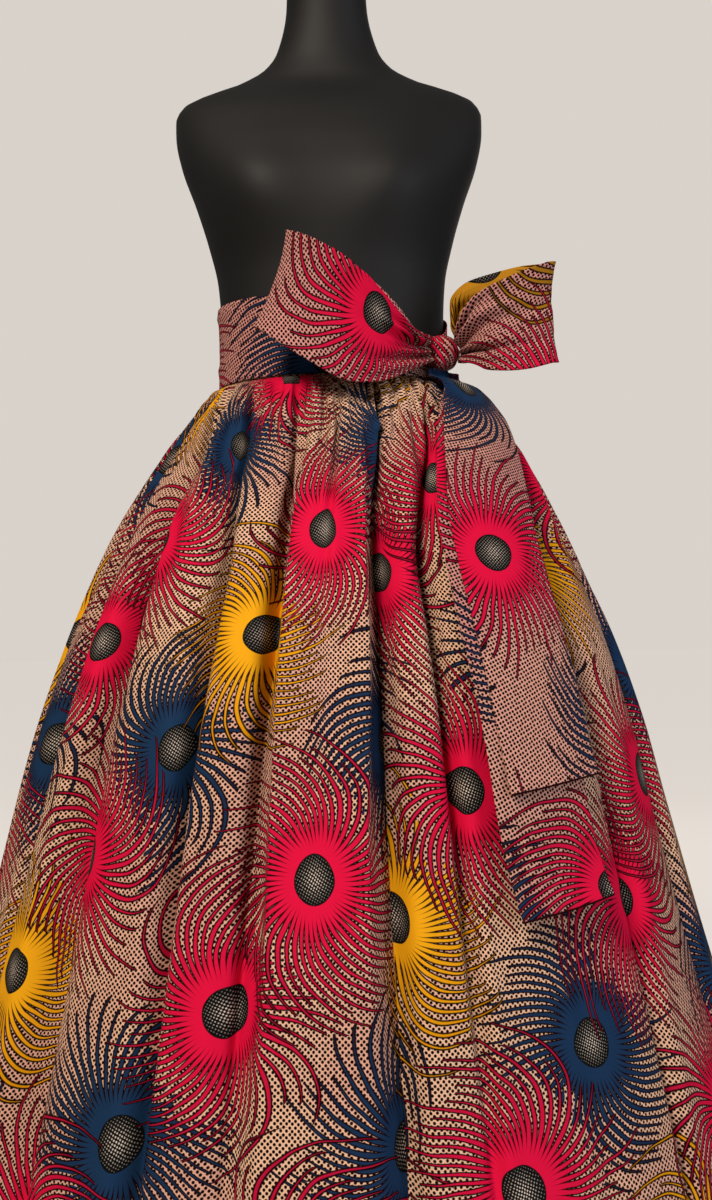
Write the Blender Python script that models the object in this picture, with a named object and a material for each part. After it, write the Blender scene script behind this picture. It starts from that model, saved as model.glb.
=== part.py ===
"""Gathered maxi skirt with a sash tied in a bow, on a limbless dress form with a round stand."""

import math

import bmesh
import bpy
import numpy as np

# Heights, in metres above the floor
HEM = 0.030
WAIST_SEAM = 1.040
BAND_TOP = 1.128
SASH_BOTTOM = 1.0416
SASH_TOP = 1.138
TORSO_BOTTOM = 0.700

# Cloth and clearances
SKIRT_WALL = 0.0015
BAND_WALL = 0.0015
SASH_WALL = 0.0015
SEAM_GAP = 0.0003
SEAM_EDGE = 0.00021
BAND_CLEARANCE = 0.0007
SASH_CLEARANCE = 0.0005
PANEL_WIDTH = 1.14
FLAT_BAND = (0.0, 0.0, 0.0)
SASH_CREASES = (0.0, 0.0006, 0.0002, 0.0008, 0.0002, 0.0004)
PANELS = 3

# Stand
POLE_RADIUS = 0.016
BASE_RADIUS = 0.190
BASE_THICKNESS = 0.010
BASE_EDGE = 0.003
HUB_RADIUS = 0.030
HUB_TOP = 0.045

# Mesh density
TORSO_COLUMNS = 40
EXTRA_TORSO_HEIGHTS = (1.245, 1.295, 1.340)
PLATE_STEPS = 64
POLE_STEPS = 24
KNOT_STEPS = 16
KNOT_RINGS = 9
SHARP_EDGE = math.radians(40)


def table(names, *rows):
    """One array for each named column."""
    return dict(zip(names.split(), np.array(rows, float).T))


# Half the skirt's outer width and depth at each height, the folds' crests, and how far
# its middle stands towards +X
ENVELOPE = table(
    "height half_width half_depth shift",
    (1.040, 0.1415, 0.1042, 0.0000),
    (1.034, 0.1555, 0.1230, 0.0030),
    (1.028, 0.1640, 0.1350, 0.0060),
    (1.004, 0.1885, 0.1600, 0.0085),
    (0.979, 0.2115, 0.1820, 0.0100),
    (0.930, 0.2450, 0.2200, 0.0085),
    (0.881, 0.2720, 0.2530, 0.0050),
    (0.833, 0.2945, 0.2800, 0.0030),
    (0.784, 0.3150, 0.3040, 0.0025),
    (0.735, 0.3350, 0.3280, 0.0025),
    (0.637, 0.3690, 0.3660, 0.0010),
    (0.540, 0.3950, 0.3930, -0.0010),
    (0.418, 0.4265, 0.4290, -0.0015),
    (0.300, 0.4590, 0.4610, -0.0015),
    (0.150, 0.4990, 0.5010, -0.0015),
    (0.030, 0.5310, 0.5330, -0.0015),
)

# Folds in the order of their valleys round the skirt, in degrees from the front towards +X:
# where the valley runs at the waist, a hand's length below it and at the hem, how full the fold
# after it is, how much of the spare cloth the valley takes at those heights, and the small gathers
FOLDS = table(
    "top mid hem fullness deep_top deep_mid deep_hem gathers",
    (15.0, 9.0, 7.5, 1.00, 1.00, 1.00, 1.00, 3),
    (35.0, 19.0, 17.0, 1.00, 1.00, 0.90, 0.10, 3),
    (54.0, 37.0, 30.0, 1.05, 0.80, 0.30, 0.06, 3),
    (72.0, 56.0, 42.0, 0.95, 1.00, 1.00, 1.10, 3),
    (88.0, 75.0, 59.0, 1.00, 0.90, 0.55, 0.30, 2),
    (103.0, 92.0, 77.0, 1.00, 1.00, 1.00, 1.00, 3),
    (117.0, 110.0, 103.0, 1.00, 0.80, 0.60, 0.25, 3),
    (131.0, 129.0, 127.5, 1.05, 1.00, 1.00, 1.00, 3),
    (146.0, 144.0, 146.0, 0.95, 0.90, 0.50, 0.20, 3),
    (162.0, 161.0, 163.0, 1.00, 1.00, 1.05, 1.00, 3),
    (178.0, 177.0, 178.0, 1.00, 0.80, 0.55, 0.30, 2),
    (193.0, 193.0, 196.0, 1.05, 1.00, 1.00, 1.10, 3),
    (208.0, 208.0, 210.0, 0.95, 0.85, 0.45, 0.15, 2),
    (222.0, 222.0, 224.0, 1.00, 1.00, 1.00, 0.95, 3),
    (236.0, 235.0, 237.0, 1.00, 0.90, 0.60, 0.30, 2),
    (250.0, 248.0, 247.5, 1.00, 1.00, 1.00, 1.00, 3),
    (265.0, 264.0, 263.0, 1.00, 0.80, 0.50, 0.25, 3),
    (280.0, 284.0, 285.0, 1.00, 1.00, 1.00, 1.10, 2),
    (291.0, 300.0, 303.0, 1.00, 0.80, 0.50, 0.30, 2),
    (302.0, 314.0, 320.0, 1.05, 1.00, 0.80, 0.80, 3),
    (320.0, 335.0, 336.0, 1.00, 1.10, 1.20, 1.15, 3),
    (343.0, 347.0, 346.0, 1.00, 1.10, 1.05, 0.12, 3),
    (359.0, 358.0, 357.0, 1.00, 0.60, 0.08, 0.04, 3),
)
SEAM_FOLDS = (0, 7, 15)
MID_BELOW = 0.24

# How the folds grow below the waist seam: the share of their full depth, the small gathers' slope,
# the slope of a valley's walls in radians, and the room for a valley outside the dress form
FOLD_GROWTH = table(
    "below depth gather steep room",
    (0.000, 0.03, 0.90, 1.36, 0.003),
    (0.006, 0.14, 1.00, 1.36, 0.011),
    (0.012, 0.26, 1.00, 1.36, 0.017),
    (0.036, 0.55, 0.95, 1.36, 0.033),
    (0.060, 0.76, 0.70, 1.36, 0.050),
    (0.110, 0.95, 0.35, 1.36, 0.080),
    (0.180, 1.00, 0.00, 1.35, 0.110),
    (0.320, 1.00, 0.00, 1.32, 0.200),
    (0.640, 1.00, 0.00, 1.12, 0.200),
    (0.830, 1.00, 0.00, 0.92, 0.200),
    (1.010, 1.00, 0.00, 0.72, 0.200),
)
STEEPEST = 1.36
VALLEY_ROUNDNESS = 0.72
CREST_SPREAD = 0.30
LEVELLING = 0.35
FOLD_SAMPLES = 101
FOLD_COLUMNS = (0.0, 0.06, 0.13, 0.21, 0.33, 0.50, 0.67, 0.79, 0.87, 0.94)

SKIRT_LEVELS = (1.0397, 1.028, 1.007, 0.968, 0.912, 0.830, 0.720, 0.570, 0.400, 0.215, 0.030)

# Dress form: half width, half depth, the section's centre and its squareness at each height
TORSO = table(
    "height half_width half_depth centre power",
    (0.700, 0.140, 0.104, 0.002, 2.2),
    (0.706, 0.152, 0.114, 0.002, 2.2),
    (0.740, 0.165, 0.122, 0.003, 2.2),
    (0.800, 0.1705, 0.124, 0.004, 2.2),
    (0.860, 0.1700, 0.121, 0.004, 2.2),
    (0.920, 0.1610, 0.114, 0.003, 2.1),
    (0.980, 0.1480, 0.106, 0.001, 2.0),
    (1.040, 0.1368, 0.0995, 0.000, 2.0),
    (1.090, 0.1352, 0.0985, 0.000, 2.0),
    (1.130, 0.1362, 0.0995, 0.000, 2.0),
    (1.170, 0.1390, 0.102, 0.000, 2.0),
    (1.220, 0.1500, 0.106, 0.000, 2.1),
    (1.270, 0.1650, 0.108, 0.003, 2.3),
    (1.320, 0.1822, 0.102, 0.008, 2.4),
    (1.357, 0.1893, 0.092, 0.014, 2.4),
    (1.380, 0.1900, 0.082, 0.018, 2.4),
    (1.396, 0.1835, 0.072, 0.021, 2.3),
    (1.408, 0.1627, 0.065, 0.023, 2.2),
    (1.420, 0.1274, 0.060, 0.024, 2.1),
    (1.443, 0.0840, 0.055, 0.024, 2.0),
    (1.467, 0.0645, 0.051, 0.022, 2.0),
    (1.516, 0.0509, 0.047, 0.016, 2.0),
    (1.553, 0.0480, 0.0465, 0.012, 2.0),
    (1.560, 0.0435, 0.0420, 0.012, 2.0),
)
BUST_HEIGHT = 1.262
BUST_SIDE = 0.082
BUST_SWELL = 0.020
BUST_SPREAD = (0.058, 0.056)

# Bow: where the strip's middle runs from the knot, round the end fold and back,
# half its width there, and how far its upper edge leans towards +X
LOOP_RIGHT = table(
    "x y z half_width lean",
    (0.1157, -0.0876, 1.0680, 0.0115, -5),
    (0.0950, -0.1110, 1.0655, 0.0225, -1),
    (0.0737, -0.1350, 1.0655, 0.0365, 3),
    (0.0488, -0.1570, 1.0700, 0.0515, 7),
    (0.0226, -0.1710, 1.0797, 0.0605, 12),
    (-0.0026, -0.1770, 1.0963, 0.0630, 13),
    (-0.0325, -0.1710, 1.1161, 0.0615, 16),
    (-0.0560, -0.1570, 1.1330, 0.0580, 19),
    (-0.0640, -0.1440, 1.1390, 0.0570, 20),
    (-0.0560, -0.1340, 1.1360, 0.0570, 19),
    (-0.0320, -0.1290, 1.1250, 0.0580, 17),
    (0.0000, -0.1270, 1.1110, 0.0570, 14),
    (0.0360, -0.1215, 1.0960, 0.0500, 12),
    (0.0680, -0.1105, 1.0830, 0.0360, 12),
    (0.0920, -0.0960, 1.0740, 0.0210, 12),
    (0.1114, -0.0822, 1.0680, 0.0120, 10),
)
LOOP_LEFT = table(
    "x y z half_width lean",
    (0.1467, -0.0835, 1.0680, 0.0115, -10),
    (0.1560, -0.1000, 1.0735, 0.0250, -18),
    (0.1700, -0.1175, 1.0793, 0.0415, -11),
    (0.1958, -0.1305, 1.0847, 0.0510, -5),
    (0.2266, -0.1340, 1.0924, 0.0563, -1),
    (0.2450, -0.1290, 1.0990, 0.0573, -1),
    (0.2535, -0.1200, 1.1020, 0.0575, -1),
    (0.2450, -0.1110, 1.1040, 0.0570, -3),
    (0.2230, -0.1000, 1.1060, 0.0560, -6),
    (0.1980, -0.0870, 1.1050, 0.0540, -12),
    (0.1760, -0.0750, 1.1030, 0.0520, -18),
    (0.1600, -0.0680, 1.0960, 0.0430, -28),
    (0.1530, -0.0670, 1.0830, 0.0270, -28),
    (0.1492, -0.0706, 1.0700, 0.0120, 0),
)
KNOT_CENTRE = (0.1289, -0.0734, 1.068)
KNOT_RADII = (0.0190, 0.0200, 0.0210)
KNOT_TURN = 45

# Hanging ends: where each one's middle lies on the skirt, half its width, and its lift off the skirt
TAIL_UPPER = table(
    "height azimuth half_width lift",
    (1.0475, 57.0, 0.0260, 0.0200),
    (1.036, 57.5, 0.0370, 0.0170),
    (1.020, 56.0, 0.0470, 0.0130),
    (1.000, 50.5, 0.0520, 0.0100),
    (0.970, 44.5, 0.0545, 0.0075),
    (0.930, 40.0, 0.0555, 0.0058),
    (0.885, 37.0, 0.0560, 0.0048),
    (0.835, 35.0, 0.0560, 0.0044),
    (0.720, 33.6, 0.0560, 0.0042),
    (0.592, 33.1, 0.0560, 0.0042),
)
TAIL_LOWER = table(
    "height azimuth half_width lift",
    (1.036, 55.5, 0.0200, 0.0128),
    (1.020, 54.0, 0.0350, 0.0088),
    (1.000, 48.5, 0.0460, 0.0062),
    (0.970, 42.5, 0.0520, 0.0046),
    (0.930, 37.8, 0.0545, 0.0031),
    (0.885, 34.6, 0.0555, 0.0023),
    (0.835, 32.6, 0.0560, 0.0019),
    (0.720, 31.0, 0.0560, 0.0018),
    (0.592, 31.0, 0.0560, 0.0018),
    (0.479, 31.8, 0.0560, 0.0018),
)
TAIL_LEVELS = (
    (1.0475, 1.036, 1.020, 1.000, 0.970, 0.930, 0.885)
    + (0.835, 0.780, 0.720, 0.656, 0.592, 0.536, 0.479)
)
TAIL_COLUMNS = 7
TAIL_SLANT = 0.012
LOOP_COLUMNS = 6
LOOP_CUP = 0.006

# Colours and finishes
JERSEY_BLACK = (0.012, 0.012, 0.013)
STEEL_BLACK = (0.030, 0.030, 0.032)
PRINT_TAN = (0.45, 0.24, 0.15)
PRINT_RED = (0.55, 0.06, 0.08)
PRINT_ROSE = (0.42, 0.16, 0.14)
COTTON_ROUGHNESS = 0.75
JERSEY_ROUGHNESS = 0.85
PAINT_ROUGHNESS = 0.42


def smooth_through(places, values, at):
    """A curve through a table's values that never overshoots them."""
    order = np.argsort(places)
    x = places[order]
    y = values[order]
    step = np.diff(x)
    slope = np.diff(y) / step
    turning = slope[1:] * slope[:-1] <= 0
    mean = 2 * slope[1:] * slope[:-1] / np.where(turning, 1, slope[1:] + slope[:-1])
    tangent = np.concatenate([slope[:1], np.where(turning, 0, mean), slope[-1:]])
    at = np.clip(at, x[0], x[-1])
    i = np.clip(np.searchsorted(x, at) - 1, 0, len(step) - 1)
    u = (at - x[i]) / step[i]
    rise = y[i + 1] - y[i]
    bend = step[i] * (tangent[i] * u * (1 - u) ** 2 - tangent[i + 1] * u * u * (1 - u))
    return y[i] + rise * u * u * (3 - 2 * u) + bend


def read(rows, column, at, key="height"):
    return smooth_through(rows[key], rows[column], at)


def along(rows, column, samples):
    """A table's column at even steps from its first row to its last."""
    places = np.arange(len(rows[column]), dtype=float)
    return smooth_through(places, rows[column], np.linspace(0, places[-1], samples))


# Skirt surface
def ellipse(height, azimuth, lift=0.0):
    """Points of the skirt's outer envelope, moved out by lift, for azimuths in degrees."""
    half_width = read(ENVELOPE, "half_width", height)
    half_depth = read(ENVELOPE, "half_depth", height)
    turn = np.radians(azimuth)
    out = np.stack([np.sin(turn) * half_depth, -np.cos(turn) * half_width], -1)
    out /= np.linalg.norm(out, axis=-1, keepdims=True)
    across = read(ENVELOPE, "shift", height) + half_width * np.sin(turn) + out[..., 0] * lift
    deep = -half_depth * np.cos(turn) + out[..., 1] * lift
    return np.stack([across, deep, np.broadcast_to(height, across.shape)], -1)


def fold_cloth():
    """The cloth in each fold, so that every panel holds its full width."""
    hem = FOLDS["hem"]
    share = (np.roll(hem, -1) - hem) % 360 * FOLDS["fullness"]
    cloth = np.zeros(len(hem))
    for panel, first in enumerate(SEAM_FOLDS):
        last = SEAM_FOLDS[(panel + 1) % PANELS] or len(hem)
        cloth[first:last] = PANEL_WIDTH * share[first:last] / share[first:last].sum()
    return cloth


def fold_path(cloth, chord, small, steep, first, last):
    """How far one fold's cloth goes across and out at each height, from one valley to the next.

    The valleys' walls take up the spare cloth, in the shares first and last, and the crest between
    them stays flat."""
    t = np.linspace(0, 1, FOLD_SAMPLES)
    near = 2 * np.minimum(t, 1 - t)
    share = np.where(t < 0.5, first[:, None], last[:, None]) * 2 / (first + last)[:, None]

    def slope(reach):
        wall = np.maximum(np.minimum(reach, 1)[:, None] * share, 1e-3)
        angle = steep + (STEEPEST - steep) * np.clip(reach - 1, 0, 1)
        main = np.sin(math.pi * np.minimum(near / wall, 1) ** VALLEY_ROUNDNESS)
        return np.clip(angle[:, None] * main * np.sign(0.5 - t) + small, -STEEPEST, STEEPEST)

    low = np.zeros(len(chord))
    high = np.full(len(chord), 2.0)
    for _ in range(24):
        middle = (low + high) / 2
        slack = np.cos(slope(middle)).mean(1) * cloth > chord
        low = np.where(slack, middle, low)
        high = np.where(slack, high, middle)
    angle = slope(low)
    start = np.zeros((len(chord), 1))
    across = np.cos(angle)
    out = np.sin(angle)
    across = np.concatenate([start, np.cumsum((across[:, 1:] + across[:, :-1]) / 2, 1)], 1)
    out = np.concatenate([start, np.cumsum((out[:, 1:] + out[:, :-1]) / 2, 1)], 1)
    return across / across[:, -1:], out / (FOLD_SAMPLES - 1) * cloth


def ease(t):
    t = np.clip(t, 0, 1)
    return t * t * (3 - 2 * t)


def skirt_grid(heights, columns):
    """Rows of points round the skirt, each fold with the given columns, from 0 at its valley to 1."""
    heights = np.array(heights)
    cloth = fold_cloth()
    below = WAIST_SEAM - heights
    grown = read(FOLD_GROWTH, "depth", below, "below")
    gather_slope = read(FOLD_GROWTH, "gather", below, "below")
    steep = read(FOLD_GROWTH, "steep", below, "below")
    room = read(FOLD_GROWTH, "room", below, "below")[:, None]
    stages = np.array([0, MID_BELOW, WAIST_SEAM - HEM])
    folds = range(len(FOLDS["hem"]))
    places = [[FOLDS[key][i] for key in ("top", "mid", "hem")] for i in folds]
    depths = [[FOLDS[key][i] for key in ("deep_top", "deep_mid", "deep_hem")] for i in folds]
    valley = np.stack([smooth_through(stages, np.array(row), below) for row in places], 1)
    deep = np.stack([smooth_through(stages, np.array(row), below) for row in depths], 1)
    width = (np.roll(valley, -1, 1) - valley) % 360
    middle = np.radians(valley + width / 2)
    reach = np.hypot(
        read(ENVELOPE, "half_width", heights)[:, None] * np.cos(middle),
        read(ENVELOPE, "half_depth", heights)[:, None] * np.sin(middle),
    )
    t = np.linspace(0, 1, FOLD_SAMPLES)
    paths = []
    for i, gathers in enumerate(FOLDS["gathers"]):
        small = gather_slope[:, None] * np.sin(2 * math.pi * gathers * t)
        last = deep[:, (i + 1) % len(cloth)]
        chord = np.radians(width[:, i]) * reach[:, i]
        paths.append(fold_path(cloth[i], chord, small, steep, deep[:, i], last))
    crest = np.stack([out.max(1) for _, out in paths], 1)
    before = crest
    after = crest - np.stack([out[:, -1] for _, out in paths], 1)
    height_of_fold = (before + after) / 2
    set_back = CREST_SPREAD * (height_of_fold - height_of_fold.max(1, keepdims=True))
    bottom = (before - set_back + np.roll(after - set_back, 1, 1)) / 2
    pick = np.round(np.array(columns) * (FOLD_SAMPLES - 1)).astype(int)
    near_first = 1 - ease(t[pick] / LEVELLING)
    near_last = 1 - ease((1 - t[pick]) / LEVELLING)
    azimuths = []
    lifts = []
    for i, (across, out) in enumerate(paths):
        lift = out[:, pick] - crest[:, i : i + 1] + set_back[:, i : i + 1]
        first = before - set_back - bottom
        last = after - set_back - np.roll(bottom, -1, 1)
        lift = lift + first[:, i : i + 1] * near_first + last[:, i : i + 1] * near_last
        lifts.append(-room * np.tanh(-lift * grown[:, None] / room))
        azimuths.append(valley[:, i : i + 1] + width[:, i : i + 1] * across[:, pick])
    return ellipse(heights[:, None], np.concatenate(azimuths, 1), np.concatenate(lifts, 1))


# Walls
def outward(grid, wrap=False):
    """Unit normals of a grid of points whose rows run down and whose columns run towards +X."""
    if wrap:
        across = np.roll(grid, -1, 1) - np.roll(grid, 1, 1)
    else:
        across = np.gradient(grid, axis=1)
    normal = np.cross(np.gradient(grid, axis=0), across)
    return normal / np.linalg.norm(normal, axis=2, keepdims=True)


def level_ends(normal):
    """Keeps the first and last rows' normals flat, so that the wall's ends are level."""
    normal = normal.copy()
    normal[[0, -1], :, 2] = 0
    return normal / np.linalg.norm(normal, axis=2, keepdims=True)


def add_mesh(name, points, faces, colour, roughness):
    mesh = bpy.data.meshes.new(name)
    mesh.from_pydata([tuple(p) for p in points], [], faces)
    work = bmesh.new()
    work.from_mesh(mesh)
    bmesh.ops.recalc_face_normals(work, faces=work.faces)
    work.to_mesh(mesh)
    work.free()
    mesh.shade_smooth()
    mesh.set_sharp_from_angle(angle=SHARP_EDGE)
    mesh.materials.append(finish(name + "_finish", colour, roughness))
    thing = bpy.data.objects.new(name, mesh)
    bpy.context.collection.objects.link(thing)
    return thing


def finish(name, colour, roughness):
    material = bpy.data.materials.new(name)
    material.use_nodes = True
    shader = material.node_tree.nodes["Principled BSDF"]
    shader.inputs["Base Color"].default_value = (*colour, 1)
    shader.inputs["Roughness"].default_value = roughness
    return material


def add_wall(name, middle, normal, thickness, colour, wrap=False):
    """A closed wall of even thickness about a grid of points."""
    rows, columns = middle.shape[:2]
    outer = (middle + normal * thickness / 2).reshape(-1, 3)
    inner = (middle - normal * thickness / 2).reshape(-1, 3)
    inside = rows * columns
    bands = columns if wrap else columns - 1
    faces = []
    for r in range(rows - 1):
        for c in range(bands):
            a = r * columns + c
            b = r * columns + (c + 1) % columns
            faces.append((a, a + columns, b + columns, b))
            faces.append((a + inside, b + inside, b + columns + inside, a + columns + inside))
    for row in (0, rows - 1):
        for c in range(bands):
            a = row * columns + c
            b = row * columns + (c + 1) % columns
            faces.append((a, b, b + inside, a + inside))
    if not wrap:
        for column in (0, columns - 1):
            for r in range(rows - 1):
                a = r * columns + column
                faces.append((a, a + columns, a + columns + inside, a + inside))
    return add_mesh(name, np.concatenate([outer, inner]), faces, colour, COTTON_ROUGHNESS)


# Skirt body
def build_skirt():
    grid = skirt_grid(SKIRT_LEVELS, FOLD_COLUMNS)
    normal = level_ends(outward(grid, wrap=True))
    starts = [fold * len(FOLD_COLUMNS) for fold in SEAM_FOLDS] + [grid.shape[1]]
    names = ("left_panel", "back_panel", "front_panel")
    colours = (PRINT_RED, PRINT_TAN, PRINT_ROSE)
    for name, colour, first, last in zip(names, colours, starts, starts[1:]):
        pick = np.arange(first, last + 1) % grid.shape[1]
        middle = grid[:, pick].copy()
        for edge, towards in ((0, 1), (-1, -2)):
            step = middle[:, towards] - middle[:, edge]
            lean = (step * normal[:, pick[edge]]).sum(1, keepdims=True)
            step = step - lean * normal[:, pick[edge]]
            step /= np.linalg.norm(step, axis=1, keepdims=True)
            middle[:, edge] += step * SEAM_EDGE
        add_wall(name, middle, normal[:, pick], SKIRT_WALL, colour)


# Dress form
def bust(height, azimuth):
    """How far the chest stands forward, as two soft mounds that run into each other."""
    side = read(TORSO, "half_width", height) * np.sin(np.radians(azimuth))
    up = np.exp(-(((height - BUST_HEIGHT) / BUST_SPREAD[1]) ** 2))
    mounds = sum(np.exp(-(((side - x) / BUST_SPREAD[0]) ** 2)) for x in (-BUST_SIDE, BUST_SIDE))
    front = np.clip(np.cos(np.radians(azimuth)), 0, 1) ** 0.5
    return BUST_SWELL * up * mounds * front


def torso_ring(height, azimuth, grow=0.0):
    """A section of the dress form, moved out by grow."""
    turn = np.radians(azimuth)
    power = 2 / read(TORSO, "power", height)
    half_width = read(TORSO, "half_width", height)
    half_depth = read(TORSO, "half_depth", height)
    centre = read(TORSO, "centre", height)
    across = half_width * np.sign(np.sin(turn)) * np.abs(np.sin(turn)) ** power
    deep = centre - half_depth * np.sign(np.cos(turn)) * np.abs(np.cos(turn)) ** power
    deep = deep - bust(height, azimuth)
    points = np.stack([across, deep], -1)
    tangent = np.roll(points, -1, 0) - np.roll(points, 1, 0)
    out = np.stack([tangent[:, 1], -tangent[:, 0]], -1)
    out /= np.linalg.norm(out, axis=1, keepdims=True)
    points = points + out * grow
    return np.column_stack([points, np.full(len(points), height)])


def even_azimuths(columns):
    return np.arange(columns) * 360.0 / columns


def build_torso():
    """Rings at the table's own heights and two between them where the form curves most."""
    heights = sorted({*TORSO["height"], *EXTRA_TORSO_HEIGHTS})
    rings = [torso_ring(h, even_azimuths(TORSO_COLUMNS)) for h in heights]
    points = np.concatenate(rings)
    faces = [tuple(reversed(range(TORSO_COLUMNS)))]
    for r in range(len(rings) - 1):
        for c in range(TORSO_COLUMNS):
            a = r * TORSO_COLUMNS + c
            b = r * TORSO_COLUMNS + (c + 1) % TORSO_COLUMNS
            faces.append((a, b, b + TORSO_COLUMNS, a + TORSO_COLUMNS))
    top = (len(rings) - 1) * TORSO_COLUMNS
    faces.append(tuple(range(top, top + TORSO_COLUMNS)))
    add_mesh("form_torso", points, faces, JERSEY_BLACK, JERSEY_ROUGHNESS)


def turned(name, profile, steps, colour):
    """A solid turned about the stand's axis from its outline, bottom to top."""
    points = []
    for radius, height in profile:
        for k in range(steps):
            turn = 2 * math.pi * k / steps
            points.append((radius * math.cos(turn), radius * math.sin(turn), height))
    faces = [tuple(reversed(range(steps)))]
    for r in range(len(profile) - 1):
        for k in range(steps):
            a = r * steps + k
            b = r * steps + (k + 1) % steps
            faces.append((a, b, b + steps, a + steps))
    top = (len(profile) - 1) * steps
    faces.append(tuple(range(top, top + steps)))
    add_mesh(name, points, faces, colour, PAINT_ROUGHNESS)


def build_stand():
    base = (
        (BASE_RADIUS - BASE_EDGE / 2, 0.0),
        (BASE_RADIUS, BASE_EDGE / 2),
        (BASE_RADIUS, BASE_THICKNESS - BASE_EDGE),
        (BASE_RADIUS - BASE_EDGE, BASE_THICKNESS),
        (HUB_RADIUS + BASE_EDGE, BASE_THICKNESS),
        (HUB_RADIUS, BASE_THICKNESS + BASE_EDGE),
        (HUB_RADIUS - BASE_EDGE, HUB_TOP),
    )
    turned("stand_base", base, PLATE_STEPS, STEEL_BLACK)
    pole = ((POLE_RADIUS, HUB_TOP + SEAM_GAP), (POLE_RADIUS, TORSO_BOTTOM - SEAM_GAP))
    turned("stand_pole", pole, POLE_STEPS, STEEL_BLACK)


# Waistband and sash
def build_band(name, low, high, inner, wall, colour, swell):
    """A tube that hugs the form between two heights, inner being its clearance to the form."""
    heights = np.linspace(high, low, len(swell))
    azimuths = even_azimuths(TORSO_COLUMNS)
    middle = np.stack([torso_ring(h, azimuths, inner + wall / 2) for h in heights])
    normal = level_ends(outward(middle, wrap=True))
    middle = middle + normal * np.array(swell)[:, None, None]
    add_wall(name, middle, normal, wall, colour, wrap=True)


def strip(rows, samples, columns, cup):
    """A grid along the bow's strip: rows follow its middle, columns go from its lower to its upper edge."""
    middle = np.stack([along(rows, axis, samples) for axis in "xyz"], -1)
    lean = np.radians(along(rows, "lean", samples))
    half = along(rows, "half_width", samples)
    upward = np.stack([np.sin(lean), np.zeros(samples), np.cos(lean)], -1)
    run = np.gradient(middle, axis=0)
    out = np.cross(run, upward)
    out /= np.linalg.norm(out, axis=1, keepdims=True)
    across = np.linspace(-1, 1, columns)
    grid = middle[:, None] + upward[:, None] * (half[:, None] * across)[..., None]
    bulge = cup * (1 - across**2) - cup / 2
    return grid + out[:, None] * bulge[None, :, None]


def build_loop(name, rows, side, colour):
    samples = 2 * len(rows["x"]) - 3
    grid = strip(rows, samples, LOOP_COLUMNS, LOOP_CUP * side)
    add_wall(name, grid, outward(grid), SASH_WALL, colour)


def build_knot():
    turn = math.radians(KNOT_TURN)
    points = []
    for r in range(1, KNOT_RINGS):
        tilt = math.pi * r / KNOT_RINGS
        for k in range(KNOT_STEPS):
            angle = 2 * math.pi * k / KNOT_STEPS
            x = KNOT_RADII[0] * math.sin(tilt) * math.cos(angle)
            y = KNOT_RADII[1] * math.sin(tilt) * math.sin(angle)
            points.append(
                (
                    KNOT_CENTRE[0] + x * math.cos(turn) - y * math.sin(turn),
                    KNOT_CENTRE[1] + x * math.sin(turn) + y * math.cos(turn),
                    KNOT_CENTRE[2] - KNOT_RADII[2] * math.cos(tilt),
                )
            )
    faces = [tuple(reversed(range(KNOT_STEPS)))]
    for r in range(KNOT_RINGS - 2):
        for k in range(KNOT_STEPS):
            a = r * KNOT_STEPS + k
            b = r * KNOT_STEPS + (k + 1) % KNOT_STEPS
            faces.append((a, b, b + KNOT_STEPS, a + KNOT_STEPS))
    top = (KNOT_RINGS - 2) * KNOT_STEPS
    faces.append(tuple(range(top, top + KNOT_STEPS)))
    add_mesh("sash_knot", points, faces, PRINT_RED, COTTON_ROUGHNESS)


def build_tail(name, rows, colour):
    """A hanging end: each row follows the skirt's envelope across the strip's width."""
    top = rows["height"].max()
    bottom = rows["height"].min()
    heights = np.array([level for level in TAIL_LEVELS if bottom <= level <= top])
    azimuths = read(rows, "azimuth", heights)
    half = read(rows, "half_width", heights)
    lift = read(rows, "lift", heights)
    across = np.linspace(-1, 1, TAIL_COLUMNS)
    radius = np.linalg.norm(ellipse(heights, azimuths)[:, :2], axis=1)
    spread = np.degrees(half / radius)[:, None] * across
    near_end = np.linspace(0, 1, len(heights))[:, None] ** 4
    height = heights[:, None] + TAIL_SLANT / 2 * across * near_end
    grid = ellipse(height, azimuths[:, None] + spread, lift[:, None])
    add_wall(name, grid, outward(grid), SASH_WALL, colour)


def clear_scene():
    for thing in list(bpy.data.objects):
        bpy.data.objects.remove(thing, do_unlink=True)


def main():
    clear_scene()
    build_stand()
    build_torso()
    build_band(
        "waistband", WAIST_SEAM, BAND_TOP, BAND_CLEARANCE, BAND_WALL, PRINT_RED, FLAT_BAND
    )
    sash_inside = BAND_CLEARANCE + BAND_WALL + SASH_CLEARANCE
    build_band(
        "sash_wrap", SASH_BOTTOM, SASH_TOP, sash_inside, SASH_WALL, PRINT_ROSE, SASH_CREASES
    )
    build_skirt()
    build_loop("sash_loop_right", LOOP_RIGHT, 1, PRINT_RED)
    build_loop("sash_loop_left", LOOP_LEFT, -1, PRINT_RED)
    build_knot()
    build_tail("sash_tail_upper", TAIL_UPPER, PRINT_ROSE)
    build_tail("sash_tail_lower", TAIL_LOWER, PRINT_TAN)


main()
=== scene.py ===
"""Looks of the gathered wax-print maxi skirt with a tied sash, on a black limbless dress form."""
import math
from functools import partial

import bpy
import numpy as np
from mathutils import Matrix, Vector


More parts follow.
